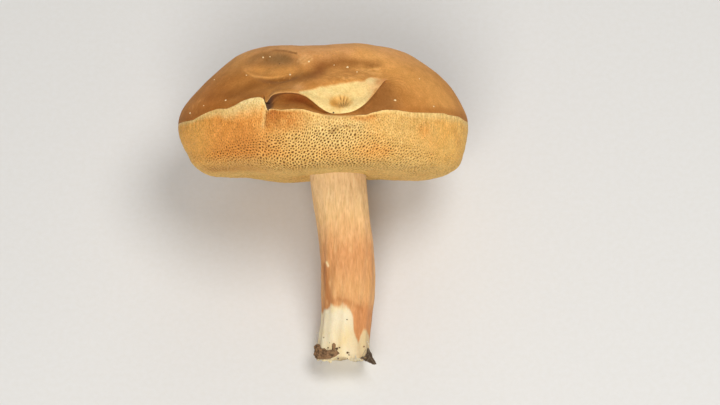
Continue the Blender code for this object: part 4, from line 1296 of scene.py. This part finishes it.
def flank_mark(spots):
    """One where the tubes show from the side as fine upright lines."""
    across, up = seen_from_front(spots)
    front = rise(-spots[:, 1], 0.0, 18)
    high = rise(spots[:, 2], 58, 65)
    open_middle = front * bump(across, 6, 13)
    pale_band = front * rise(-across, 14, 17) * rise(up, 67, 69.5)
    return high * (1.0 - 0.8 * open_middle) * (1.0 - 0.9 * pale_band)


STEM_COLUMNS = 330
STEM_ROWS = 200
STEM_CROWDING = 0.25
FOOT_ROWS = 22
FOOT_RADIUS = 7.2
FOOT_HOLLOW = 2.2
STEM_RIDGE_HEIGHT = 0.13


def stem_at(height):
    """Middle and radius of the stem at a height."""
    return (
        np.interp(height, STEM_MIDDLES[:, 1], STEM_MIDDLES[:, 0]),
        np.interp(height, STEM_MIDDLES[:, 1], STEM_MIDDLES[:, 2]),
    )


def stem_ridges(turn, height):
    """The stem's coarse upright ridges, fading out just under the tubes."""
    ridge = np.sin(13 * turn + 3 * np.sin(height / 9)) + 0.6 * np.sin(7 * turn + 1.0)
    return STEM_RIDGE_HEIGHT * ridge * fall(height, 46, 52)


def felt_mask(spots, turn, height):
    """One on the white felt round the foot, with a frayed upper edge."""
    frayed = 0.9 * rough_noise(spots * (1.0, 1.0, 0.4), 1.1, 101)
    return rise(felt_top(turn) + frayed - height, -0.7, 0.8)


def round_stem(turn, height, lift):
    """Points over the stem's surface, lifted off it by that much."""
    middle, radius = stem_at(height)
    spots = place(radius + lift, turn, height)
    spots[..., 0] += middle
    return spots


def stem_skin(turn, height, look):
    """Points of the stem's side with its fibres and wool, and how felted each is."""
    ridges = stem_ridges(turn, height)
    spots = round_stem(turn, height, ridges)
    felt = felt_mask(spots, turn, height)
    fibres = look.fibre_relief / MM * rough_noise(spots * (1.0, 1.0, 0.22), 0.65, 105)
    wool = 0.10 + 0.10 * rough_noise(spots, 1.3, 109)
    lift = ridges + fibres * (1.0 - felt) + wool * felt + 0.15 * rough_noise(spots, 5, 113)
    return round_stem(turn, height, lift), felt


def paint_stem(spots, turn, felt, look):
    """Colours of the stem's flesh, stains and felt."""
    across, up = seen_from_front(spots)
    height = spots[:, 2]
    front = rise(np.cos(turn), -0.1, 0.35)
    fibrous = rough_noise(spots * (1.0, 1.0, 0.35), 1.1, 121)
    flecks = rough_noise(spots * (1.0, 1.0, 0.3), 0.55, 123)
    paint = Paint(look.low, across, up, front)
    paint.coat(look.top, rise(height, 30, 43))
    paint.coat(tone(254, 216, 160), 0.8 * front * rise(height, 40, 49))
    paint.coat(tone(233, 184, 122), 0.4 * bump(height, 20, 5))
    paint.coat(look.rust, 0.16 * rise(fibrous, 0.15, 0.7))
    paint.coat(look.top, 0.25 * rise(-fibrous, 0.15, 0.7))
    paint.coat(tone(196, 132, 82), 0.3 * rise(flecks, 0.2, 0.6))
    paint.line(look.rust, 0.85 * rise(fibrous, -0.7, 0.1), BROWN_STREAK, 1.25)
    paint.blot(tone(214, 160, 104), 0.5, (6.3, 38.8), (1.6, 3.5))
    paint.line(look.rust, 0.6 * rise(fibrous, -0.7, 0.2), RUST_BAND, 0.8)
    right = front * rise(across, 7.0, 9.5) * fall(up, 13, 17.5)
    paint.coat(tone(206, 136, 82), 0.7 * right)
    paint.coat(look.rust, 0.55 * right * rise(fibrous, 0.0, 0.5))
    paint.coat(look.rust, 0.6 * (1.0 - front) * fall(height, 12, 21) * rise(fibrous, -0.4, 0.5))
    paint.line(tone(252, 226, 172), 0.9, PALE_NICK, 0.3)
    # Painted light along the stem's left and right sides
    paint.coat(tone(250, 206, 150), 0.25 * rise(np.abs(np.sin(turn)), 0.93, 1.0) * rise(height, 16, 22))
    paint.coat(felt_colours(spots, across, up, front, look), felt)
    return paint.colours


def felt_colours(spots, across, up, front, look):
    """Colours of the felt: yellower and tanner towards the right, and soiled at the foot's edge."""
    wool = Paint(look.felt, across, up, front)
    wool.coat(tone(238, 214, 160), 0.7 * rise(rough_noise(spots, 4, 125), -0.1, 0.5))
    wool.blot(tone(236, 204, 142), 0.6, (6.0, 6.5), (3.0, 3.5))
    wool.coat(tone(214, 180, 126), 0.6 * front * rise(across, 6.0, 10.5))
    upright = rough_noise(spots * (1.0, 1.0, 0.3), 1.2, 129)
    wool.coat(tone(226, 196, 150), 0.35 * rise(upright, 0.2, 0.7))
    soiled = fall(spots[:, 2], -0.4, 2.6) * rise(rough_noise(spots, 1.1, 133), -0.2, 0.4)
    wool.coat(tone(150, 112, 74), 0.75 * soiled)
    return wool.colours


def make_stem(look):
    """The stem: its side from the torn foot up into the cap, closed by a hollowed foot."""
    turns = crowd_front(all_round(STEM_COLUMNS) - math.pi, STEM_CROWDING)
    share, turn = np.meshgrid(np.linspace(0.0, 1.0, STEM_ROWS) ** 1.15, turns, indexing="ij")
    foot = foot_edge(turn) + 0.5 * rough_noise(place(FOOT_RADIUS, turn, 0 * turn), 1.2, 137)
    top = STEM_MIDDLES[-1, 1] - 1.0
    side, felt = stem_skin(turn, foot + share * (top - foot), look)
    middle = np.array([stem_at(0.0)[0], 0.0, FOOT_HOLLOW])
    inward = np.linspace(0.0, 1.0, FOOT_ROWS + 1)[:0:-1, None]
    disc = side[0] + (middle - side[0]) * inward[..., None]
    disc[..., 2] = side[0, :, 2] + (middle[2] - side[0, :, 2]) * (1.0 - (1.0 - inward) ** 3)
    disc[..., 2] += 0.5 * rough_noise(disc, 1.6, 141) * rise(inward, 0.0, 0.25)
    lid = np.broadcast_to([STEM_MIDDLES[-1, 0], 0.0, top], (1, STEM_COLUMNS, 3))
    spots = np.concatenate([disc, side, lid]).reshape(-1, 3)
    turn_all = np.concatenate([turn[:FOOT_ROWS], turn, turn[:1]]).ravel()
    felt_all = np.concatenate([np.ones((FOOT_ROWS, STEM_COLUMNS)), felt, felt[:1] * 0]).ravel()
    layers = {"paint": paint_stem(spots, turn_all, felt_all, look), "felt": felt_all}
    faces = ring_faces(FOOT_ROWS + STEM_ROWS + 1, STEM_COLUMNS)
    make_piece("stem_skin", spots, faces, layers, stem_material(), ["stem"])


# Outline of the soil crust as (turn in degrees, height in millimetres) round the foot
CRUST_OUTLINE = [
    (-114, 2.6), (-109, 4.4), (-97, 5.2), (-82, 5.0), (-68, 4.9), (-58, 4.2), (-51, 3.6), (-44, 3.8),
    (-36, 2.9), (-29, 2.9), (-22, 3.4), (-14, 3.2), (-7, 2.3), (-17, 1.4), (-28, 0.9), (-44, 0.7),
    (-70, 0.8), (-95, 1.0), (-109, 1.4),
]
CRUST_MIDDLE = (-60.0, 2.7)
CRUST_THICKNESS = 1.5
CRUST_SUNK = 0.2
CRUST_SPOKES = 190
CRUST_RINGS = 46


def make_crust(look, material):
    """Soil crust: a lumpy shell that thins out to an uneven edge on the foot."""
    closed = np.array(CRUST_OUTLINE + CRUST_OUTLINE[:1], dtype=float)
    angle = np.linspace(0.0, len(CRUST_OUTLINE), CRUST_SPOKES, endpoint=False)
    edge = np.stack([np.interp(angle, np.arange(len(closed)), closed[:, k]) for k in range(2)], axis=-1)
    reach = np.linspace(1.0, 0.0, CRUST_RINGS)[:, None, None]
    flat = np.array(CRUST_MIDDLE) + (edge - CRUST_MIDDLE) * reach
    turn, height = np.radians(flat[..., 0]), flat[..., 1]
    base = round_stem(turn, height, 0.0)
    lumps = 0.55 + 0.5 * rough_noise(base, 1.6, 151) + 0.28 * rough_noise(base, 0.5, 155)
    thickness = CRUST_THICKNESS * np.clip(lumps, 0.12, 1.4) * np.sqrt(1.0 - reach[..., 0] ** 4)
    shake = 0.3 * rough_noise(base, 1, 159)
    shells = []
    for depth in (thickness, np.full(thickness.shape, -CRUST_SUNK)):
        shell = round_stem(turn, height, 0.12 + depth)
        shell[..., 2] += shake * depth
        shells.append(shell)
    spots = np.concatenate([shells[1][::-1], shells[0]]).reshape(-1, 3)
    fine = rough_noise(spots, 0.6, 163)
    paint = mix(np.tile(look.soil, (len(spots), 1)), look.dark_soil, rise(-fine, -0.2, 0.5))
    paint = mix(paint, tone(176, 140, 92), 0.5 * rise(rough_noise(spots, 0.9, 167), 0.25, 0.6))
    faces = ring_faces(2 * CRUST_RINGS, CRUST_SPOKES)
    make_piece("soil_crumb", spots, faces, {"paint": paint}, material, ["soil_crust"])


def lump_mesh(rng, centre, size, detail):
    """A small uneven lump: its points and faces."""
    shape = bmesh.new()
    bmesh.ops.create_icosphere(shape, subdivisions=detail, radius=1.0)
    ball = np.array([vertex.co for vertex in shape.verts])
    faces = [[vertex.index for vertex in face.verts] for face in shape.faces]
    shape.free()
    lumps = 1.0 + 0.35 * rough_noise(ball + rng.uniform(0, 9, 3), 0.9, int(rng.integers(1, 999)))
    return centre + ball * lumps[:, None] * size, faces


def joined(parts):
    """Several meshes as one set of points and faces, and the part each point belongs to."""
    spots, faces, owner, start = [], [], [], 0
    for number, (part_spots, part_faces) in enumerate(parts):
        spots.append(part_spots)
        faces += [[corner + start for corner in face] for face in part_faces]
        owner += [number] * len(part_spots)
        start += len(part_spots)
    return np.concatenate(spots), faces, np.array(owner)


def on_stem(turn_degrees, height, lift):
    """A point over the stem's surface."""
    return round_stem(math.radians(turn_degrees), height, lift)


def make_crumbs(look, material):
    """Loose crumbs of soil on the felt and round the crust."""
    rng = np.random.default_rng(23)
    parts = [lump_mesh(rng, on_stem(-20, 4.2, 0.25), np.array([0.55, 0.35, 0.95]), 4)]
    for _ in range(look.crumbs):
        turn = rng.normal(-50, 42)
        height = 0.6 + abs(rng.normal(0.0, 2.2))
        size = rng.uniform(0.12, 0.34)
        parts.append(lump_mesh(rng, on_stem(turn, height, 0.4 * size), size * rng.uniform(0.7, 1.3, 3), 3))
    spots, faces, owner = joined(parts)
    shade = np.random.default_rng(29).uniform(0.0, 1.0, len(parts))[owner]
    paint = mix(np.tile(look.soil, (len(spots), 1)), look.dark_soil, shade)
    make_piece("soil_crumbs", spots, faces, {"paint": paint}, material)


# Corners of the leaf scrap and of the hole in it, as (across, height) in millimetres
SCRAP_OUTLINE = [
    (10.3, 0.9), (11.0, 1.5), (11.5, 1.4), (12.1, 2.3), (12.2, 3.2), (12.5, 4.0), (12.9, 3.6), (13.3, 2.8),
    (13.7, 2.2), (13.9, 1.3), (14.4, 0.5), (14.9, -0.5), (14.6, -0.8), (13.9, -0.75), (13.2, -0.4),
    (12.4, 0.0), (11.7, 0.2), (11.1, 0.7),
]
SCRAP_HOLE = ((11.85, 1.05), (0.36, 0.288))
HOLE_CORNERS = 16
SCRAP_VEINS = [
    [(12.6, 4.0), (12.9, 1.6), (14.5, -0.7)], [(12.9, 2.2), (11.0, 1.0)], [(13.1, 1.2), (12.2, 0.2)],
    [(12.8, 3.0), (13.6, 2.0)],
]
SCRAP_STEP = 0.14
SCRAP_FRONT = -5.35
SCRAP_HALF_THICKNESS = 0.07


def scrap_sheet(outline, rng):
    """Flat points and triangles of the leaf scrap, with its hole left open."""
    (hole_across, hole_height), (hole_width, hole_rise) = SCRAP_HOLE
    around = all_round(HOLE_CORNERS)
    circle = np.stack([np.cos(around), np.sin(around)], axis=-1)
    hole = (hole_across, hole_height) + circle * (hole_width, hole_rise)
    hole += rng.uniform(-0.03, 0.03, hole.shape)
    across, height = np.meshgrid(np.arange(10.0, 15.2, SCRAP_STEP), np.arange(-1.0, 4.4, SCRAP_STEP))
    inner = np.stack([across.ravel(), height.ravel()], axis=-1) + rng.uniform(-0.04, 0.04, (across.size, 2))
    inside = patch(*inner.T, outline, 0.001) > 0.5
    hole_gap = np.hypot(inner[:, 0] - hole_across, inner[:, 1] - hole_height)
    clear = (distance_to(*inner.T, [*outline, outline[0]]) > 0.07) & (hole_gap > hole_width + 0.06)
    points = [Vector(spot) for spot in np.vstack([outline, hole, inner[inside & clear]])]
    count = len(outline)
    rim = [(k, (k + 1) % count) for k in range(count)]
    gap = [(count + k, count + (k + 1) % HOLE_CORNERS) for k in range(HOLE_CORNERS)]
    filled = geometry.delaunay_2d_cdt(points, rim + gap, [], 1, 1e-6)
    flat = np.array([tuple(spot) for spot in filled[0]])
    middles = np.array([flat[list(face)].mean(axis=0) for face in filled[2]])
    solid = oval(*middles.T, SCRAP_HOLE) > 1.0
    return flat, [list(face) for face, keep in zip(filled[2], solid) if keep]


def make_leaf(look):
    """The leaf scrap: a thin curled sheet with a hole, veins and a bleached edge."""
    outline = smooth_line(SCRAP_OUTLINE + SCRAP_OUTLINE[:1], 4)[:-1]
    rng = np.random.default_rng(37)
    outline = outline + rng.uniform(-0.04, 0.04, outline.shape)
    flat, faces = scrap_sheet(outline, rng)
    across, height = flat.T
    away = across - SCRAP_OUTLINE[0][0]
    curl = SCRAP_FRONT - 0.30 * away + 0.05 * away ** 2 + 0.12 * np.sin(2.2 * height + away)
    sheet = np.stack([across, curl, height], axis=-1)
    veins = sum(streak(across, height, line, 0.07) for line in SCRAP_VEINS)
    bulge = 0.04 * np.clip(veins, 0.0, 1.0) + 0.06 * rough_noise(sheet, 0.7, 171)
    front_side, back_side = sheet.copy(), sheet.copy()
    front_side[:, 1] -= SCRAP_HALF_THICKNESS + bulge
    back_side[:, 1] += SCRAP_HALF_THICKNESS
    count = len(sheet)
    both = faces + [[corner + count for corner in reversed(face)] for face in faces]
    edges = {(a, b): None for face in faces for a, b in zip(face, face[1:] + face[:1])}
    both += [[b, a, a + count, b + count] for a, b in edges if (b, a) not in edges]
    edge = streak(across, height, [*outline, outline[0]], 0.12)
    bleached = np.clip(0.55 * edge + 0.45 * veins, 0.0, 0.9)
    paint = mix(np.tile(look.leaf, (count, 1)), look.leaf_edge, bleached)
    paint = mix(paint, tone(52, 38, 28), 0.6 * rise(rough_noise(sheet, 0.8, 175), 0.0, 0.5))
    layers = {"paint": np.concatenate([paint, paint])}
    material = litter_material("leaf", 0.3, 0.08, 0.7, 0.1)
    spots = np.concatenate([front_side, back_side])
    make_piece("leaf_litter", spots, both, layers, material, ["leaf_scrap"])


# Strands as lists of (across, depth, height) in millimetres, with their thickness
STRANDS = [
    ([(-1.4, -1.2, 4.9), (-2.1, -1.4, 5.5), (-2.4, -1.6, 6.4), (-2.5, -1.7, 7.0)], 0.16),
    ([(-0.6, -2.4, 4.8), (-1.6, -2.6, 5.2), (-2.3, -2.4, 5.3)], 0.14),
    ([(-1.2, -1.5, 8.0), (-1.7, -1.6, 8.3), (-1.6, -1.8, 7.6)], 0.2),
    ([(12.2, -3.9, 5.9), (12.9, -4.4, 4.6), (13.8, -4.9, 2.6), (14.6, -5.2, 0.8)], 0.15),
    ([(12.0, -3.9, 5.6), (12.7, -4.3, 5.3), (13.2, -4.4, 4.3)], 0.12),
    ([(11.9, -5.0, 3.4), (11.5, -5.7, 2.6), (11.0, -5.9, 1.7)], 0.13),
    ([(9.0, -6.6, 1.8), (9.2, -6.7, 1.0), (8.9, -6.6, 0.4)], 0.3),
    ([(4.4, -7.3, 1.6), (4.1, -7.5, 1.0), (4.2, -7.6, 0.5)], 0.14),
    ([(1.0, 5.4, 1.3), (-0.2, 5.8, 0.5), (-0.8, 5.6, -0.6)], 0.16),
]
STRAND_SIDES = 8
SOILED_STRAND = 5


def make_strands(look):
    """Fine pale strands that hang from the foot, each a tapering tube with closed ends."""
    around = all_round(STRAND_SIDES)
    parts = []
    for corners, thickness in STRANDS:
        line = smooth_line(corners, 6)
        along = np.gradient(line, axis=0)
        along /= np.linalg.norm(along, axis=1, keepdims=True)
        side = np.cross(along, [0.3, 0.9, 0.2])
        side /= np.linalg.norm(side, axis=1, keepdims=True)
        other = np.cross(along, side)
        circle = side[:, None] * np.cos(around)[:, None] + other[:, None] * np.sin(around)[:, None]
        width = thickness / 2 * (1.0 - 0.75 * np.linspace(0.0, 1.0, len(line)))
        width = np.concatenate([[0.0], width, [0.0]])
        ends = [slice(0, 1), slice(None), slice(-1, None)]
        line, circle = (np.concatenate([values[part] for part in ends]) for values in (line, circle))
        spots = (line[:, None] + width[:, None, None] * circle).reshape(-1, 3)
        parts.append((spots, ring_faces(len(line), STRAND_SIDES).tolist()))
    spots, faces, owner = joined(parts)
    paint = mix(np.tile(look.strand, (len(spots), 1)), tone(96, 74, 56), (owner == SOILED_STRAND) * 0.9)
    material = litter_material("strand", 0.3, 0.03, 0.6, 0.3)
    make_piece("strands", spots, faces, {"paint": paint}, material)


# Pale grit and dark grains on the cap's skin, as (across, up, size) in the view from the front
PALE_GRIT = [
    (-27.4, 73.5, 0.5), (-37.3, 69.9, 0.45), (-30.6, 79.3, 0.4), (-16.9, 85.6, 0.45), (-14.9, 85.7, 0.4),
    (-9.3, 80.7, 0.55), (-4.1, 84.4, 0.55), (6.8, 82.7, 0.6), (20.2, 73.5, 0.65), (31.0, 71.8, 0.35),
    (9.5, 81.4, 0.35), (-21.6, 80.6, 0.3), (3.0, 83.4, 0.3), (27.0, 79.6, 0.3), (-33.5, 72.0, 0.3),
]
DARK_GRAINS = [(2.8, 70.1, 0.42), (-12.2, 83.8, 0.3)]
# A grain on the felt, as (turn in degrees, height, size)
FELT_GRAIN = (0.9, 11.7, 0.36)
# Grains scattered over the back of the cap
BACK_GRAINS = 26
# How much being nearer to the view counts when grit is set on a point seen from the front
NEARER_FIRST = 0.15


def on_cap(across, up, look):
    """The point of the cap's front that the view from the front sees at (across, up) millimetres."""
    bearing, station = np.meshgrid(np.linspace(-1.45, 1.45, 420), np.linspace(0.25, 0.99, 300))
    radius, height, _ = cap_skin(bearing, station, look)
    spots = place(radius, bearing, height)
    seen_across, seen_up = seen_from_front(spots)
    found = []
    for x, y in zip(across, up):
        distance = np.hypot(seen_across - x, seen_up - y) + NEARER_FIRST * spots[..., 1]
        found.append(spots.reshape(-1, 3)[np.argmin(distance)])
    return np.array(found)


def make_grit(cap_look, litter_look):
    """Pale grit on the suede and a few dark grains of soil."""
    rng = np.random.default_rng(43)
    across, up, size = np.array(PALE_GRIT + DARK_GRAINS).T
    places = on_cap(across, up, cap_look)
    parts = []
    for spot, wide in zip(places, size):
        parts.append(lump_mesh(rng, spot, wide / 2 * rng.uniform(0.8, 1.25, 3), 3))
    turn, height, wide = FELT_GRAIN
    parts.append(lump_mesh(rng, on_stem(turn, height, 0.15), np.full(3, wide / 2), 3))
    for _ in range(BACK_GRAINS):
        bearing, station = rng.uniform(1.6, 4.7), rng.uniform(0.1, 0.95)
        radius, height, _ = cap_skin(np.array([bearing]), np.array([station]), cap_look)
        spot = place(radius, np.array([bearing]), height)[0]
        parts.append(lump_mesh(rng, spot, rng.uniform(0.12, 0.25) * rng.uniform(0.7, 1.3, 3), 2))
    spots, faces, owner = joined(parts)
    dark = (owner >= len(PALE_GRIT)) & (owner <= len(PALE_GRIT) + len(DARK_GRAINS))
    paint = mix(np.tile(cap_look.speck, (len(spots), 1)), litter_look.dark_soil, dark * 1.0)
    make_piece("grit", spots, faces, {"paint": paint}, litter_material("grit", 0.2, 0.03, 0.6, 0.0))


# How far under the pressed side the floor lies, in millimetres
FLOOR_GAP = 0.02


def make_stage(look):
    """The floor, the lights and the camera at the front."""
    shape = bmesh.new()
    bmesh.ops.create_grid(shape, x_segments=60, y_segments=60, size=1.5)
    mesh = bpy.data.meshes.new("floor")
    shape.to_mesh(mesh)
    shape.free()
    floor = bpy.data.objects.new("floor", mesh)
    floor.location = (0.0, 0.0, -FLOOR_GAP * MM)
    bpy.context.scene.collection.objects.link(floor)
    material, tree, shader = new_material("pale_floor", specular_ior_level=0.2)
    source = add_node(tree, "ShaderNodeTexCoord").outputs["Object"]
    grain = noise_value(tree, source, 1.5, 3.0)
    colour = brightened(tree, (*look.floor, 1.0), ranged(tree, grain, 0.985, 1.015))
    tree.links.new(colour, shader.inputs["Base Color"])
    shader.inputs["Roughness"].default_value = 0.85
    mesh.materials.append(material)

    world = bpy.data.worlds.new("room")
    world.use_nodes = True
    world.node_tree.nodes["Background"].inputs["Color"].default_value = (1.0, 0.99, 0.97, 1.0)
    world.node_tree.nodes["Background"].inputs["Strength"].default_value = look.room
    bpy.context.scene.world = world
    lights = [
        ("key", (0.22, -0.08, 0.85), 0.40, look.key_power),
        ("front", (-0.04, -0.62, 0.66), 0.40, look.fill_power),
        ("back", (0.10, 0.75, 0.35), 0.45, look.fill_power * 0.15),
    ]
    for name, spot, size, power in lights:
        light = bpy.data.lights.new(name, "AREA")
        light.shape = "DISK"
        light.size = size
        light.energy = power
        lamp = bpy.data.objects.new(name, light)
        lamp.location = spot
        lamp.rotation_euler = (Vector((0.0, 0.0, 0.03)) - Vector(spot)).to_track_quat("-Z", "Y").to_euler()
        bpy.context.scene.collection.objects.link(lamp)

    data = bpy.data.cameras.new("camera")
    data.sensor_width = SENSOR_WIDTH
    data.lens = SENSOR_WIDTH * VIEW_DISTANCE / VIEW_WIDTH
    data.clip_start, data.clip_end = 0.05, 10.0
    camera = bpy.data.objects.new("camera", data)
    back = LAY.to_3x3() @ Vector(VIEW_BACK)
    camera.location = LAY @ Vector(AIM * MM) + back * (VIEW_DISTANCE * MM)
    camera.rotation_mode = "QUATERNION"
    camera.rotation_quaternion = (-back).to_track_quat("-Z", "Y")
    bpy.context.scene.collection.objects.link(camera)
    bpy.context.scene.camera = camera
    bpy.context.scene.view_settings.view_transform = "Standard"


class BOLETE_OT_stage(bpy.types.Operator):
    """Put down the floor, the lights and the camera"""

    bl_idname = "bolete.stage"
    bl_label = "Stage"

    def execute(self, context):
        make_stage(context.scene.bolete_stage)
        return {"FINISHED"}


class BOLETE_OT_cap(bpy.types.Operator):
    """Make the cap with its torn lip"""

    bl_idname = "bolete.cap"
    bl_label = "Cap"

    def execute(self, context):
        make_cap(context.scene.bolete_cap)
        return {"FINISHED"}


class BOLETE_OT_tubes(bpy.types.Operator):
    """Make the tube layer with its pores"""

    bl_idname = "bolete.tubes"
    bl_label = "Tube Layer"

    def execute(self, context):
        make_tubes(context.scene.bolete_tubes)
        return {"FINISHED"}


class BOLETE_OT_stem(bpy.types.Operator):
    """Make the stem with its fibres and felted foot"""

    bl_idname = "bolete.stem"
    bl_label = "Stem"

    def execute(self, context):
        make_stem(context.scene.bolete_stem)
        return {"FINISHED"}


class BOLETE_OT_soil(bpy.types.Operator):
    """Make the soil crust and its loose crumbs"""

    bl_idname = "bolete.soil"
    bl_label = "Soil"

    def execute(self, context):
        look = context.scene.bolete_litter
        material = litter_material("soil", 0.35, 0.16, 0.85, 0.0)
        make_crust(look, material)
        make_crumbs(look, material)
        return {"FINISHED"}


class BOLETE_OT_leaf(bpy.types.Operator):
    """Make the leaf scrap"""

    bl_idname = "bolete.leaf"
    bl_label = "Leaf Scrap"

    def execute(self, context):
        make_leaf(context.scene.bolete_litter)
        return {"FINISHED"}


class BOLETE_OT_strands(bpy.types.Operator):
    """Make the strands at the foot"""

    bl_idname = "bolete.strands"
    bl_label = "Strands"

    def execute(self, context):
        make_strands(context.scene.bolete_litter)
        return {"FINISHED"}


class BOLETE_OT_grit(bpy.types.Operator):
    """Scatter grit on the suede"""

    bl_idname = "bolete.grit"
    bl_label = "Grit"

    def execute(self, context):
        make_grit(context.scene.bolete_cap, context.scene.bolete_litter)
        return {"FINISHED"}


OPERATORS = (
    BOLETE_OT_stage, BOLETE_OT_cap, BOLETE_OT_tubes, BOLETE_OT_stem, BOLETE_OT_soil, BOLETE_OT_leaf,
    BOLETE_OT_strands, BOLETE_OT_grit,
)
SETTINGS = {
    "bolete_stage": StageSettings, "bolete_cap": CapSettings, "bolete_tubes": TubeSettings,
    "bolete_stem": StemSettings, "bolete_litter": LitterSettings,
}


class BOLETE_PT_panel(bpy.types.Panel):
    """Lists the pieces and their sizes and colours"""

    bl_idname = "BOLETE_PT_panel"
    bl_label = "Suede Bolete"
    bl_space_type = "VIEW_3D"
    bl_region_type = "UI"
    bl_category = "Bolete"

    def draw(self, context):
        for operator in OPERATORS:
            self.layout.operator(operator.bl_idname)
        for key, group in SETTINGS.items():
            box = self.layout.box()
            box.label(text=group.__doc__)
            for name in group.__annotations__:
                box.prop(getattr(context.scene, key), name)


def register():
    """Adds the settings, operators and panel to Blender."""
    for item in (*SETTINGS.values(), *OPERATORS, BOLETE_PT_panel):
        bpy.utils.register_class(item)
    for key, group in SETTINGS.items():
        setattr(bpy.types.Scene, key, PointerProperty(type=group))


def unregister():
    """Takes them out again."""
    for key in SETTINGS:
        delattr(bpy.types.Scene, key)
    for item in reversed((*SETTINGS.values(), *OPERATORS, BOLETE_PT_panel)):
        bpy.utils.unregister_class(item)


def main():
    """Makes every piece in order."""
    register()
    bpy.ops.bolete.stage()
    bpy.ops.bolete.cap()
    bpy.ops.bolete.tubes()
    bpy.ops.bolete.stem()
    bpy.ops.bolete.soil()
    bpy.ops.bolete.leaf()
    bpy.ops.bolete.strands()
    bpy.ops.bolete.grit()


if __name__ == "__main__":
    main()
